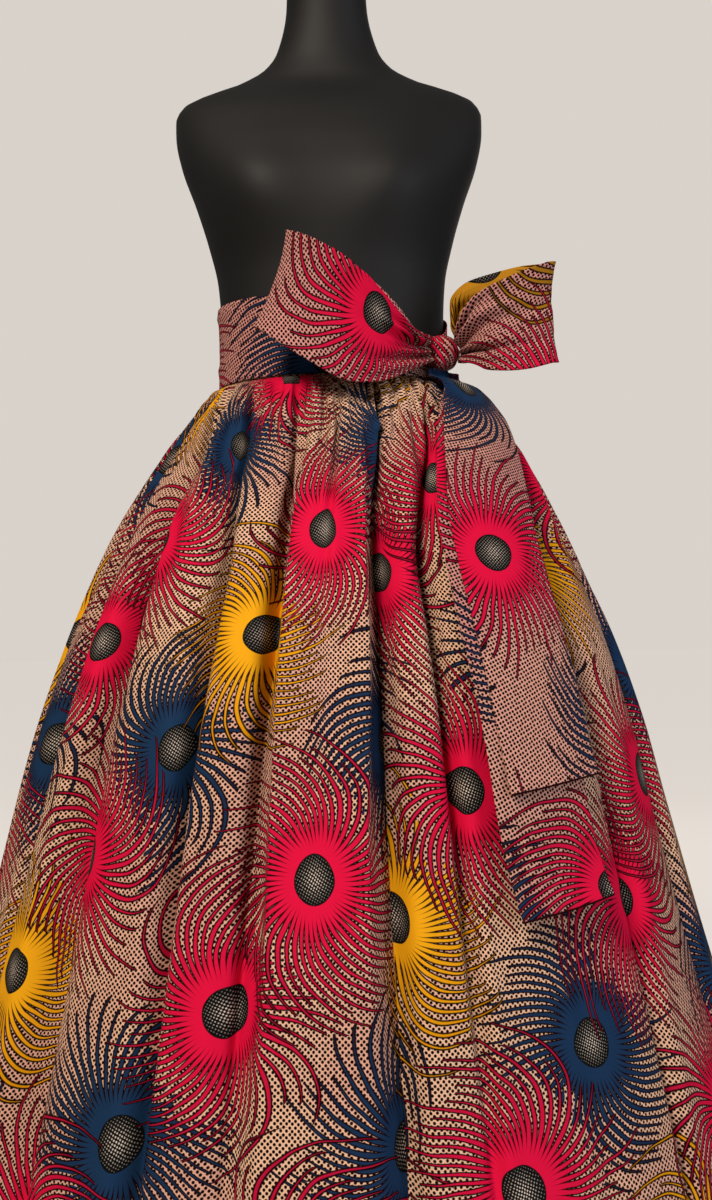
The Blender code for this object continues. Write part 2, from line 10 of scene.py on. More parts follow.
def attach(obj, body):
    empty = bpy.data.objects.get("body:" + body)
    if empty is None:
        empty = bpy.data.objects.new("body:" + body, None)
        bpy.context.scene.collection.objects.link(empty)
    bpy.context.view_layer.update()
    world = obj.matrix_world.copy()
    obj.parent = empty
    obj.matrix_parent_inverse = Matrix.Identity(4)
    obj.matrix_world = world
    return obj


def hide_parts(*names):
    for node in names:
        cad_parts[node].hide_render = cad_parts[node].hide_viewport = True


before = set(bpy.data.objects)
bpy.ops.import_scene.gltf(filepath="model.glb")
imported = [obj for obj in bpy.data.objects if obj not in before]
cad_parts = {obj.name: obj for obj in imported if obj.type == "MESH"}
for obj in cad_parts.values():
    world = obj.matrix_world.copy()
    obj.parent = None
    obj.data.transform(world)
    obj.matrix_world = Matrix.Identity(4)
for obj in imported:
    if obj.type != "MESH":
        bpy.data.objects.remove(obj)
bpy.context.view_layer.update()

# Sizes shared with the solids, in metres
HEM = 0.030
WAIST_SEAM = 1.040
SKIRT_TOP = 1.0397
BAND_TOP = 1.128
SASH_BOTTOM = 1.0416
SASH_TOP = 1.138
PANEL_WIDTH = 1.14
SASH_WIDTH = 0.113
BAND_CLEARANCE = 0.0007
SASH_CLEARANCE = 0.0027

# Real cloth: one layer of cotton, the sash sewn double
COTTON = 0.0005
DOUBLE_COTTON = 0.0011


def table(names, *rows):
    """One array for each named column."""
    return dict(zip(names.split(), np.array(rows, float).T))


# Half the skirt's outer width and depth at each height, the folds' crests, and how far
# its middle stands towards +X
ENVELOPE = table(
    "height half_width half_depth shift",
    (1.04, 0.1415, 0.1042, 0),
    (1.034, 0.1555, 0.123, 0.003),
    (1.028, 0.164, 0.135, 0.006),
    (1.004, 0.1885, 0.16, 0.0085),
    (0.979, 0.2115, 0.182, 0.01),
    (0.93, 0.245, 0.22, 0.0085),
    (0.881, 0.272, 0.253, 0.005),
    (0.833, 0.2945, 0.28, 0.003),
    (0.784, 0.315, 0.304, 0.0025),
    (0.735, 0.335, 0.328, 0.0025),
    (0.637, 0.369, 0.366, 0.001),
    (0.54, 0.395, 0.393, -0.001),
    (0.418, 0.4265, 0.429, -0.0015),
    (0.3, 0.459, 0.461, -0.0015),
    (0.15, 0.499, 0.501, -0.0015),
    (0.03, 0.531, 0.533, -0.0015),
)

# Folds in the order of their valleys round the skirt, in degrees from the front towards +X:
# where the valley runs at the waist, a hand's length below it and at the hem, how full the fold
# after it is, how much of the spare cloth the valley takes at those heights, and the small gathers
FOLDS = table(
    "top mid hem fullness deep_top deep_mid deep_hem gathers",
    (15, 9, 7.5, 1, 1, 1, 1, 3),
    (35, 19, 17, 1, 1, 0.9, 0.1, 3),
    (54, 37, 30, 1.05, 0.8, 0.3, 0.06, 3),
    (72, 56, 42, 0.95, 1, 1, 1.1, 3),
    (88, 75, 59, 1, 0.9, 0.55, 0.3, 2),
    (103, 92, 77, 1, 1, 1, 1, 3),
    (117, 110, 103, 1, 0.8, 0.6, 0.25, 3),
    (131, 129, 127.5, 1.05, 1, 1, 1, 3),
    (146, 144, 146, 0.95, 0.9, 0.5, 0.2, 3),
    (162, 161, 163, 1, 1, 1.05, 1, 3),
    (178, 177, 178, 1, 0.8, 0.55, 0.3, 2),
    (193, 193, 196, 1.05, 1, 1, 1.1, 3),
    (208, 208, 210, 0.95, 0.85, 0.45, 0.15, 2),
    (222, 222, 224, 1, 1, 1, 0.95, 3),
    (236, 235, 237, 1, 0.9, 0.6, 0.3, 2),
    (250, 248, 247.5, 1, 1, 1, 1, 3),
    (265, 264, 263, 1, 0.8, 0.5, 0.25, 3),
    (280, 284, 285, 1, 1, 1, 1.1, 2),
    (291, 300, 303, 1, 0.8, 0.5, 0.3, 2),
    (302, 314, 320, 1.05, 1, 0.8, 0.8, 3),
    (320, 335, 336, 1, 1.1, 1.2, 1.15, 3),
    (343, 347, 346, 1, 1.1, 1.05, 0.12, 3),
    (359, 358, 357, 1, 0.6, 0.08, 0.04, 3),
)
SEAM_FOLDS = (0, 7, 15)
MID_BELOW = 0.24

# How the folds grow below the waist seam: the share of their full depth, the small gathers' slope,
# the slope of a valley's walls in radians, and the room for a valley outside the dress form
FOLD_GROWTH = table(
    "below depth gather steep room",
    (0, 0.03, 2, 1.36, 0.003),
    (0.006, 0.14, 2.2, 1.36, 0.011),
    (0.012, 0.26, 2.2, 1.36, 0.017),
    (0.036, 0.55, 1.9, 1.36, 0.033),
    (0.06, 0.76, 1.4, 1.36, 0.05),
    (0.11, 0.95, 0.75, 1.36, 0.08),
    (0.18, 1, 0.25, 1.35, 0.11),
    (0.32, 1, 0, 1.32, 0.2),
    (0.64, 1, 0, 1.12, 0.2),
    (0.83, 1, 0, 0.92, 0.2),
    (1.01, 1, 0, 0.72, 0.2),
)
STEEPEST = 1.50
VALLEY_ROUNDNESS = 0.72
CREST_SPREAD = 0.30
LEVELLING = 0.35
FOLD_SAMPLES = 257
FOLD_COLUMNS = 40
SKIRT_ROWS = 140
ROW_CROWDING = 1.5
FINE_GATHER = 0.5
FINE_REACH = 0.022
# How unevenly the small gathers lie in a fold, and how that changes by the fold and down the skirt
UNEVEN_GATHERS = 3.6
UNEVEN_BY_FOLD = 2.4
UNEVEN_BY_METRE = 7.0
SOLVER_STEPS = 24


# Dress form: half width, half depth, the section's centre and its squareness at each height
TORSO = table(
    "height half_width half_depth centre power",
    (0.7, 0.14, 0.104, 0.002, 2.2),
    (0.706, 0.152, 0.114, 0.002, 2.2),
    (0.74, 0.165, 0.122, 0.003, 2.2),
    (0.8, 0.1705, 0.124, 0.004, 2.2),
    (0.86, 0.17, 0.121, 0.004, 2.2),
    (0.92, 0.161, 0.114, 0.003, 2.1),
    (0.98, 0.148, 0.106, 0.001, 2),
    (1.04, 0.1368, 0.0995, 0, 2),
    (1.09, 0.1352, 0.0985, 0, 2),
    (1.13, 0.1362, 0.0995, 0, 2),
    (1.17, 0.139, 0.102, 0, 2),
    (1.22, 0.15, 0.106, 0, 2.1),
    (1.27, 0.165, 0.108, 0.003, 2.3),
    (1.32, 0.1822, 0.102, 0.008, 2.4),
    (1.357, 0.1893, 0.092, 0.014, 2.4),
    (1.38, 0.19, 0.082, 0.018, 2.4),
    (1.396, 0.1835, 0.072, 0.021, 2.3),
    (1.408, 0.1627, 0.065, 0.023, 2.2),
    (1.42, 0.1274, 0.06, 0.024, 2.1),
    (1.443, 0.084, 0.055, 0.024, 2),
    (1.467, 0.0645, 0.051, 0.022, 2),
    (1.516, 0.0509, 0.047, 0.016, 2),
    (1.553, 0.048, 0.0465, 0.012, 2),
    (1.56, 0.0435, 0.042, 0.012, 2),
)
BUST_HEIGHT = 1.262
BUST_SIDE = 0.082
BUST_SWELL = 0.020
BUST_SPREAD = (0.058, 0.056)

# Bow: where the strip's middle runs from the knot, round the end fold and back,
# half its width there, and how far its upper edge leans towards +X
LOOP_RIGHT = table(
    "x y z half_width lean",
    (0.1157, -0.0876, 1.068, 0.0115, -5),
    (0.095, -0.111, 1.0655, 0.0225, -1),
    (0.0737, -0.135, 1.0655, 0.0365, 3),
    (0.0488, -0.157, 1.07, 0.0515, 7),
    (0.0226, -0.171, 1.0797, 0.0605, 12),
    (-0.0026, -0.177, 1.0963, 0.063, 13),
    (-0.0325, -0.171, 1.1161, 0.0615, 16),
    (-0.056, -0.157, 1.133, 0.058, 19),
    (-0.064, -0.144, 1.139, 0.057, 20),
    (-0.056, -0.134, 1.136, 0.057, 19),
    (-0.032, -0.129, 1.125, 0.058, 17),
    (0, -0.127, 1.111, 0.057, 14),
    (0.036, -0.1215, 1.096, 0.05, 12),
    (0.068, -0.1105, 1.083, 0.036, 12),
    (0.092, -0.096, 1.074, 0.021, 12),
    (0.1114, -0.0822, 1.068, 0.012, 10),
)
LOOP_LEFT = table(
    "x y z half_width lean",
    (0.1467, -0.0835, 1.068, 0.0115, -10),
    (0.156, -0.1, 1.0735, 0.025, -18),
    (0.17, -0.1175, 1.0793, 0.0415, -11),
    (0.1958, -0.1305, 1.0847, 0.051, -5),
    (0.2266, -0.134, 1.0924, 0.0563, -1),
    (0.245, -0.129, 1.099, 0.0573, -1),
    (0.2535, -0.12, 1.102, 0.0575, -1),
    (0.245, -0.111, 1.104, 0.057, -3),
    (0.223, -0.1, 1.106, 0.056, -6),
    (0.198, -0.087, 1.105, 0.054, -12),
    (0.176, -0.075, 1.103, 0.052, -18),
    (0.16, -0.068, 1.096, 0.043, -28),
    (0.153, -0.067, 1.083, 0.027, -28),
    (0.1492, -0.0706, 1.07, 0.012, 0),
)
KNOT_CENTRE = (0.1289, -0.0734, 1.068)
KNOT_RADII = (0.0190, 0.0200, 0.0210)
KNOT_TURN = 45

# Hanging ends: where each one's middle lies on the skirt, half its width, and its lift off the skirt
TAIL_UPPER = table(
    "height azimuth half_width lift",
    (1.0475, 57, 0.026, 0.02),
    (1.036, 57.5, 0.037, 0.017),
    (1.02, 56, 0.047, 0.013),
    (1, 50.5, 0.052, 0.01),
    (0.97, 44.5, 0.0545, 0.0075),
    (0.93, 40, 0.0555, 0.0058),
    (0.885, 37, 0.056, 0.0048),
    (0.835, 35, 0.056, 0.0044),
    (0.72, 33.6, 0.056, 0.0042),
    (0.592, 33.1, 0.056, 0.0042),
)
TAIL_LOWER = table(
    "height azimuth half_width lift",
    (1.036, 55.5, 0.02, 0.0128),
    (1.02, 54, 0.035, 0.0088),
    (1, 48.5, 0.046, 0.0062),
    (0.97, 42.5, 0.052, 0.0046),
    (0.93, 37.8, 0.0545, 0.0031),
    (0.885, 34.6, 0.0555, 0.0023),
    (0.835, 32.6, 0.056, 0.0019),
    (0.72, 31, 0.056, 0.0018),
    (0.592, 31, 0.056, 0.0018),
    (0.479, 31.8, 0.056, 0.0018),
)
TAIL_SLANT = 0.012
LOOP_CUP = 0.006


def smooth_through(places, values, at):
    """A curve through a table's values that never overshoots them."""
    order = np.argsort(places)
    x = places[order]
    y = values[order]
    step = np.diff(x)
    slope = np.diff(y) / step
    turning = slope[1:] * slope[:-1] <= 0
    mean = 2 * slope[1:] * slope[:-1] / np.where(turning, 1, slope[1:] + slope[:-1])
    tangent = np.concatenate([slope[:1], np.where(turning, 0, mean), slope[-1:]])
    at = np.clip(at, x[0], x[-1])
    i = np.clip(np.searchsorted(x, at) - 1, 0, len(step) - 1)
    u = (at - x[i]) / step[i]
    rise = y[i + 1] - y[i]
    bend = step[i] * (tangent[i] * u * (1 - u) ** 2 - tangent[i + 1] * u * u * (1 - u))
    return y[i] + rise * u * u * (3 - 2 * u) + bend


def read(rows, column, at, key="height"):
    return smooth_through(rows[key], rows[column], at)


def along(rows, column, samples):
    """A table's column at even steps from its first row to its last."""
    places = np.arange(len(rows[column]), dtype=float)
    return smooth_through(places, rows[column], np.linspace(0, places[-1], samples))


def ease(t):
    t = np.clip(t, 0, 1)
    return t * t * (3 - 2 * t)


def grows(value, start, length):
    """Rises softly from 0 at start to 1, over a length."""
    return ease((value - start) / length)


# Camera, measured from the photograph's scale and horizon
FRAME_HEIGHT = 1200
FOCAL_PIXELS = 1270
SENSOR = 36
CAMERA_PLACE = (0.022, -1.55, 0.735)
CAMERA_PITCH = 1.8
CAMERA_ROLL = -1.15


def add_camera():
    camera = bpy.data.cameras.new("photo_camera")
    camera.sensor_width = SENSOR
    camera.lens = SENSOR * FOCAL_PIXELS / FRAME_HEIGHT
    holder = bpy.data.objects.new("photo_camera", camera)
    upright = Matrix.Rotation(math.radians(90 + CAMERA_PITCH), 4, "X")
    roll = Matrix.Rotation(math.radians(CAMERA_ROLL), 4, "Z")
    holder.matrix_world = Matrix.Translation(CAMERA_PLACE) @ upright @ roll
    bpy.context.collection.objects.link(holder)
    bpy.context.scene.camera = holder


add_camera()


# Materials
def linear(hex_colour):
    """An sRGB colour written as in a paint chart, turned to the shader's linear values."""
    parts = [int(hex_colour[i : i + 2], 16) / 255 for i in (1, 3, 5)]
    parts = [c / 12.92 if c <= 0.04045 else ((c + 0.055) / 1.055) ** 2.4 for c in parts]
    return (*parts, 1.0)


def new_material(name, roughness, colour="#FFFFFF"):
    """A material with its plain values, and the function that adds nodes to it."""
    material = bpy.data.materials.new(name)
    material.use_nodes = True
    shader = material.node_tree.nodes["Principled BSDF"]
    shader.inputs["Base Color"].default_value = linear(colour)
    shader.inputs["Roughness"].default_value = roughness
    return material, partial(add_node, material.node_tree), shader


def add_node(tree, kind, inputs=(), output=None, **settings):
    """Adds a node with its settings and links, and gives the output of that name, or else its first.

    The inputs are values or sockets, in the order in which the node shows them, or by name."""
    made = tree.nodes.new("ShaderNode" + kind)
    for name, value in settings.items():
        setattr(made, name, value)
    sockets = [socket for socket in made.inputs if socket.enabled]
    if isinstance(inputs, dict):
        sockets = [made.inputs[name] for name in inputs]
        inputs = inputs.values()
    for socket, value in zip(sockets, inputs):
        if isinstance(value, bpy.types.NodeSocket):
            tree.links.new(value, socket)
        else:
            socket.default_value = value
    return next(socket for socket in made.outputs if socket.enabled and output in (None, socket.name))


# Wax print, in metres of flat cloth: three lattices of sun-ray flowers on a dotted ground.
# The lattices' cell, how far a flower strays in it, and what tells one flower from the next by chance
FLOWER_STEP = (0.330, 0.352)
FLOWER_STRAY = 0.012
FLOWERS_APART = 7.0
LEAN_SEED = 0.3
WEDGE_SEED = 0.7
# A flower's heart, its rays with their dark outlines, and the dark wedges that part them
DISC = 0.0225
DISC_RIM = 0.0010
RAYS = 54
RAY_HALF = 0.0021
RAY_LINE = 0.0013
RAY_TIP = (0.106, 0.152)
RAY_TAPER = 0.095
RAY_THINNING = 0.85
WEDGE_START = (0.029, 0.046)
WEDGE_OPENING = 0.11
WEDGE_WIDEST = 0.0016
WEDGE_LAP = 0.0004
# How far out the flower clears the print under it, and how its rays bend
FIELD = (0.074, 0.106)
SWIRL = 0.46
SWIRL_SWAY = 0.65
SWAY_TURN = 40.0
SWAY_LOBES = 2.0
SWIRL_POWER = 1.8
SWIRL_REACH = 0.1
# The hand-cut waver of the whole print, the ground's dots and the heart's seeds
WAVER = 0.0030
WAVER_STEP = 0.05
DOT_STEP = 0.0039
DOT_SIZE = 0.375
DOT_STRAY = 0.18
DOT_BLEED = 0.07
DYE_BLEED = 0.00035
SEED_STEP = 0.0028
SEED_SIZE = (0.30, 0.18)
SEED_TURN = 0.45
SEED_STRAY = 0.15
SEED_BLEED = 0.1
DYE_FADES = (0.035, 0.11)
# Colours of the print, the thread (also the painted shade line at a sash end's hem), the form's cover and
# the stand
INK = "#140305"
HEART = "#0B0D0D"
GROUND = "#D8B094"
GROUND_ROSE = "#BE857E"
SEED = "#CDC0B4"
SEED_EDGE = "#45423F"
THREAD_AND_HEM_SHADE = "#2A0A0D"
JERSEY = "#0D0D0E"
STEEL = "#232325"
# The mark that says how near a sash end's hem is, for its painted shade line, and the row of stitches
# above the skirt's hem
HEM_SHADE_MARK = "near_hem_shade"
HEM_SHADE_EDGE = 0.8
STITCH_ROW = 0.022
STITCH_STEP = 0.0032
STITCH_HALF = 0.0003
STITCH_SHARE = 0.8
# Broad drifts from the ochre ground to the rose one
WARMTH_STEP = 0.2
WARMTH_RANGE = (0.38, 0.62)
WARMTH_SWAY = 0.3
# Threads 0.4 mm apart and ribs 0.8 mm apart are too fine to show, so both are drawn coarser: the weave
# at 1.1 mm and the jersey's ribs at 1.2 mm. The paint's orange peel has dimples of 1.4 mm.
WEAVE_STEP = 0.0011
RIB_SCALE = 260.0
PEEL_SCALE = 700.0
# Dyes: each one's colour near the flower's heart and further out
RED = ("#CF0F3C", "#A81236")
YELLOW = ("#DD9C14", "#C5860C")
NAVY = ("#17304F", "#152845")
# The yellow dye darkened as painted shade, for the bow's left loop
SHADED_YELLOW = ("#A9761A", "#8F6314")
NAVY_FLOWER = (0.0, 0.0)
MIXED_FLOWER = (0.110, 0.117)
RED_FLOWER = (0.220, 0.235)
# Flowers on a piece of cloth: where each lattice starts, its two dyes by turns, and the seed of its
# random values. The sash is cut where fewer of them lie.
NAVY_LATTICE = (NAVY_FLOWER, (NAVY, NAVY), 11.0)
RED_LATTICE = (RED_FLOWER, (RED, RED), 97.0)
FLOWERS = (NAVY_LATTICE, (MIXED_FLOWER, (YELLOW, RED), 53.0), RED_LATTICE)
WRAP_FLOWERS = (NAVY_LATTICE, RED_LATTICE)
TAIL_FLOWERS = ((MIXED_FLOWER, (NAVY, NAVY), 53.0), RED_LATTICE)
# The left loop's flowers: their yellow is darkened as painted shade
LOOP_FLOWERS = (((0.413, 0.231), (SHADED_YELLOW, SHADED_YELLOW), 53.0), RED_LATTICE)
KNOT_FLOWERS = (RED_LATTICE,)


def within(add, value, edge, width=DYE_BLEED):
    """1 below the edge and 0 above it, fading over a width as dye bleeds."""
    past = add("Math", (value, edge), operation="SUBTRACT")
    return add("MapRange", (past, -width, width, 1.0, 0.0))


def scattered_dots(add, place, turn, step, stray, size, bleed):
    """Round dots on a turned grid that strays a little; their size is a share of the grid's step."""
    turned = add("Mapping", {"Vector": place, "Rotation": (0, 0, turn)})
    grid = {"Vector": turned, "Scale": 1 / step, "Randomness": stray}
    return within(add, add("TexVoronoi", grid, "Distance", voronoi_dimensions="2D"), size, bleed)


def chance(add, number, seed):
    """A random value from 0 to 1 for each whole number."""
    seeded = add("Math", (number, seed), operation="ADD")
    return add("TexWhiteNoise", {"W": seeded}, "Value", noise_dimensions="1D")


def seeds(add, place, radius):
    """A flower's dark heart with rows of pale seeds, which grow finer and dimmer towards its edge."""
    size = add("MapRange", (radius, 0.0, DISC, *SEED_SIZE))
    pale = scattered_dots(add, place, SEED_TURN, SEED_STEP, SEED_STRAY, size, SEED_BLEED)
    in_heart = add("Math", (radius, DISC - DISC_RIM), operation="LESS_THAN")
    pale = add("Math", (pale, in_heart), operation="MULTIPLY")
    dimmed = add("MapRange", (radius, DISC / 5, DISC))
    shade = add("Mix", (dimmed, linear(SEED), linear(SEED_EDGE)), data_type="RGBA")
    return add("Mix", (pale, linear(HEART), shade), data_type="RGBA")


def add_flowers(add, cloth, under, ground, start, dyes, seed):
    """Draws a lattice of sun-ray flowers, its two dyes by turns, over what is under it."""
    step = (*FLOWER_STEP, 1)
    moved = add("VectorMath", (cloth, (*start, 0)), operation="SUBTRACT")
    cell = add("VectorMath", (moved, step), operation="DIVIDE")
    cell = add("VectorMath", (cell, (0.5, 0.5, 0)), operation="ADD")
    cell = add("VectorMath", (cell,), operation="FLOOR")
    column, row = (add("SeparateXYZ", (cell,), axis) for axis in "XY")
    number = add("Math", (row, FLOWERS_APART, column), operation="MULTIPLY_ADD")
    lean = chance(add, number, seed + LEAN_SEED)

    # Where each point lies from the middle of its flower, which strays a little from its lattice
    stray = add("TexWhiteNoise", {"Vector": cell}, "Color", noise_dimensions="2D")
    stray = add("VectorMath", (stray, (FLOWER_STRAY,) * 3), operation="MULTIPLY")
    stray = add("VectorMath", (stray, (FLOWER_STRAY / 2,) * 3), operation="SUBTRACT")
    middle = add("VectorMath", (cell, step, stray), operation="MULTIPLY_ADD")
    place = add("VectorMath", (moved, middle), operation="SUBTRACT")
    x, y = (add("SeparateXYZ", (place,), axis) for axis in "XY")
    flat = add("CombineXYZ", (x, y))
    radius = add("VectorMath", (flat,), operation="LENGTH")
    angle = add("Math", (y, x), operation="ARCTAN2")

    # The rays run straight out and then bend to one side, some more than others
    beyond = add("Math", (radius, DISC), operation="SUBTRACT")
    beyond = add("Math", (beyond, 0.0), operation="MAXIMUM")
    beyond = add("Math", (beyond, SWIRL_REACH), operation="DIVIDE")
    sway = add("Math", (angle, SWAY_LOBES), operation="MULTIPLY")
    sway = add("Math", (lean, SWAY_TURN, sway), operation="MULTIPLY_ADD")
    sway = add("Math", (sway,), operation="SINE")
    side = add("Math", (lean, 0.5), operation="SUBTRACT")
    side = add("Math", (side,), operation="SIGN")
    swirl = add("Math", (sway, SWIRL_SWAY, 1.0), operation="MULTIPLY_ADD")
    swirl = add("Math", (swirl, SWIRL), operation="MULTIPLY")
    swirl = add("Math", (swirl, side), operation="MULTIPLY")
    swept = add("Math", (beyond, SWIRL_POWER), operation="POWER")
    swept = add("Math", (swept, swirl, angle), operation="MULTIPLY_ADD")

    # How far apart the bent rays lie, square across them
    steep = add("Math", (beyond, SWIRL_POWER - 1), operation="POWER")
    steep = add("Math", (steep, swirl), operation="MULTIPLY")
    steep = add("Math", (steep, radius), operation="MULTIPLY")
    steep = add("Math", (steep, SWIRL_POWER / SWIRL_REACH), operation="MULTIPLY")
    squeeze = add("Math", (steep, steep, 1.0), operation="MULTIPLY_ADD")
    squeeze = add("Math", (squeeze,), operation="INVERSE_SQRT")
    pitch = add("Math", (radius, squeeze), operation="MULTIPLY")
    pitch = add("Math", (pitch, 2 * math.pi / RAYS), operation="MULTIPLY")

    # Each ray's own number and length, and how far a point lies from its middle line
    count = add("Math", (swept, RAYS / (2 * math.pi)), operation="MULTIPLY")
    ray = add("Math", (count,), operation="FLOOR")
    ray = add("Math", (ray, RAYS), operation="FLOORED_MODULO")
    length = chance(add, ray, seed)
    tip = add("MapRange", (length, 0.0, 1.0, *RAY_TIP))
    distance = add("Math", (count,), operation="FRACT")
    distance = add("Math", (distance, 0.5), operation="SUBTRACT")
    distance = add("Math", (distance,), operation="ABSOLUTE")
    distance = add("Math", (distance, pitch), operation="MULTIPLY")

    # The dark wedges between the rays leave each ray its room
    gap = add("Math", (count,), operation="ROUND")
    gap = add("Math", (gap, RAYS), operation="FLOORED_MODULO")
    opening = add("MapRange", (chance(add, gap, seed + WEDGE_SEED), 0.0, 1.0, *WEDGE_START))
    opening = add("Math", (radius, opening), operation="SUBTRACT")
    opening = add("Math", (opening, 0.0), operation="MAXIMUM")
    opening = add("Math", (opening, WEDGE_OPENING), operation="MULTIPLY")
    opening = add("Math", (opening, WEDGE_WIDEST), operation="MINIMUM")
    room = add("Math", (pitch, 0.5, WEDGE_LAP), operation="MULTIPLY_ADD")
    room = add("Math", (room, opening), operation="SUBTRACT")

    # Each ray as a tapering stroke of dye in a dark outline
    half = add("Math", (tip, radius), operation="SUBTRACT")
    half = add("MapRange", (half, 0.0, RAY_TAPER))
    half = add("Math", (half, RAY_THINNING), operation="POWER")
    half = add("Math", (half, RAY_HALF), operation="MULTIPLY")
    half = add("Math", (half, room), operation="MINIMUM")
    outside = add("Math", (distance, half), operation="SUBTRACT")
    before_tip = add("Math", (radius, tip), operation="LESS_THAN")
    line = add("Math", (within(add, outside, RAY_LINE), before_tip), operation="MULTIPLY")
    fill = add("Math", (within(add, outside, 0.0), before_tip), operation="MULTIPLY")

    # The flower's own ground, its outlines, its rays in one dye or the other, and its heart
    field = add("MapRange", (length, 0.0, 1.0, *FIELD))
    field = add("Math", (radius, field), operation="LESS_THAN")
    colour = add("Mix", (field, under, ground), data_type="RGBA")
    colour = add("Mix", (line, colour, linear(INK)), data_type="RGBA")
    fading = add("MapRange", (radius, *DYE_FADES))
    inks = [add("Mix", (fading, linear(near), linear(far)), data_type="RGBA") for near, far in dyes]
    by_turns = add("Math", (column, row), operation="ADD")
    by_turns = add("Math", (by_turns, 2.0), operation="FLOORED_MODULO")
    ink = add("Mix", (by_turns, *inks), data_type="RGBA")
    colour = add("Mix", (fill, colour, ink), data_type="RGBA")
    heart = seeds(add, flat, radius)
    return add("Mix", (within(add, radius, DISC), colour, heart), data_type="RGBA")


def stitches_and_hem_shade(add, cloth, colour):
    """Dark sewing thread in a row of stitches above the skirt's hem, and a painted shade line at a sash
    end's turned edge, partly its dark edge thread.
    """
    height = add("SeparateXYZ", (add("TexCoord", output="Object"),), "Z")
    row = add("Math", (height, HEM + STITCH_ROW), operation="SUBTRACT")
    row = add("Math", (row,), operation="ABSOLUTE")
    row = add("Math", (row, STITCH_HALF), operation="LESS_THAN")
    dash = add("SeparateXYZ", (cloth,), "X")
    dash = add("Math", (dash, STITCH_STEP), operation="DIVIDE")
    dash = add("Math", (dash,), operation="FRACT")
    dash = add("Math", (dash, STITCH_SHARE), operation="LESS_THAN")
    stitch_and_hem_shade_mask = add("Math", (row, dash), operation="MULTIPLY")
    # A sash end's last millimetres are painted in the thread colour: painted shade under its turned hem,
    # partly its dark edge thread
    edge = add("Attribute", output="Fac", attribute_name=HEM_SHADE_MARK)
    edge = add("Math", (edge, HEM_SHADE_EDGE), operation="GREATER_THAN")
    stitch_and_hem_shade_mask = add("Math", (stitch_and_hem_shade_mask, edge), operation="MAXIMUM")
    return add("Mix", (stitch_and_hem_shade_mask, colour, linear(THREAD_AND_HEM_SHADE)), data_type="RGBA")


def add_relief(material, height, strength, depth):
    """A surface too fine to model, as a bump of a real depth in metres."""
    tree = material.node_tree
    bump = add_node(tree, "Bump", {"Strength": strength, "Distance": depth, "Height": height})
    tree.links.new(bump, tree.nodes["Principled BSDF"].inputs["Normal"])


def wax_print(name, rose, flowers):
    """Wax-printed plain-weave cotton: dyed through on both sides, lightly glazed, with a faint weave."""
    material, add, shader = new_material(name, roughness=0.66)
    cloth = add("UVMap", uv_map="cloth")
    steps = (WAVER_STEP, WARMTH_STEP, WEAVE_STEP)
    waver, drift, weave = ({"Vector": cloth, "Scale": 1 / step, "Detail": 1.0} for step in steps)
    waver = add("TexNoise", waver, "Color", noise_dimensions="2D")
    drawn = add("VectorMath", (waver, (2 * WAVER,) * 3, cloth), operation="MULTIPLY_ADD")
    drift = add("TexNoise", drift, "Fac", noise_dimensions="2D")
    warm = add("MapRange", (drift, *WARMTH_RANGE, rose - WARMTH_SWAY, rose + WARMTH_SWAY))
    dots = scattered_dots(add, cloth, math.radians(45), DOT_STEP, DOT_STRAY, DOT_SIZE, DOT_BLEED)
    ground = add("Mix", (warm, linear(GROUND), linear(GROUND_ROSE)), data_type="RGBA")
    ground = add("Mix", (dots, ground, linear(INK)), data_type="RGBA")
    colour = ground
    for start, dyes, seed in flowers:
        colour = add_flowers(add, drawn, colour, ground, start, dyes, seed)
    colour = stitches_and_hem_shade(add, cloth, colour)
    material.node_tree.links.new(colour, shader.inputs["Base Color"])
    shader.inputs["Specular IOR Level"].default_value = 0.03
    weave = add("TexNoise", weave, "Fac", noise_dimensions="2D")
    add_relief(material, weave, strength=0.15, depth=0.0003)
    return material


def knitted_cover(name):
    """Black cotton jersey stretched over the form: matt, with a fine rib."""
    material, add, shader = new_material(name, roughness=0.62, colour=JERSEY)
    shader.inputs["IOR"].default_value = 1.35
    ribs = {"Vector": add("TexCoord", output="Object"), "Scale": RIB_SCALE, "Distortion": 0.6}
    ribs = add("TexWave", ribs, "Fac", bands_direction="X")
    add_relief(material, ribs, strength=0.12, depth=0.0003)
    return material


def painted_steel(name):
    """Powder-coated steel: satin black with a fine orange-peel surface."""
    material, add, _ = new_material(name, roughness=0.42, colour=STEEL)
    peel = {"Vector": add("TexCoord", output="Object"), "Scale": PEEL_SCALE, "Detail": 1.0}
    add_relief(material, add("TexNoise", peel, "Fac"), strength=0.1, depth=0.0002)
    return material


SKIRT_PRINT = wax_print("wax_print_cotton_skirt", 0.20, FLOWERS)
WRAP_PRINT = wax_print("wax_print_cotton_wrap", 1.0, WRAP_FLOWERS)
LOOP_PRINT = wax_print("wax_print_cotton_loop", 1.0, LOOP_FLOWERS)
KNOT_PRINT = wax_print("wax_print_cotton_knot", 1.1, KNOT_FLOWERS)
# The sash ends' print also paints a dark shade line at their hems
TAIL_PRINT = wax_print("wax_print_cotton_tail", 1.0, TAIL_FLOWERS)
FORM_COVER = knitted_cover("black_jersey_cover")
STAND_PAINT = painted_steel("satin_black_steel")


# Cloth pieces
def declare(piece, replaced):
    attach(piece, "root")
    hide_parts(replaced)


def add_object(name, points, faces, material):
    mesh = bpy.data.meshes.new(name)
    mesh.from_pydata(points.reshape(-1, 3).tolist(), [], faces)
    mesh.materials.append(material)
    mesh.shade_smooth()
    piece = bpy.data.objects.new(name, mesh)
    bpy.context.collection.objects.link(piece)
    return piece


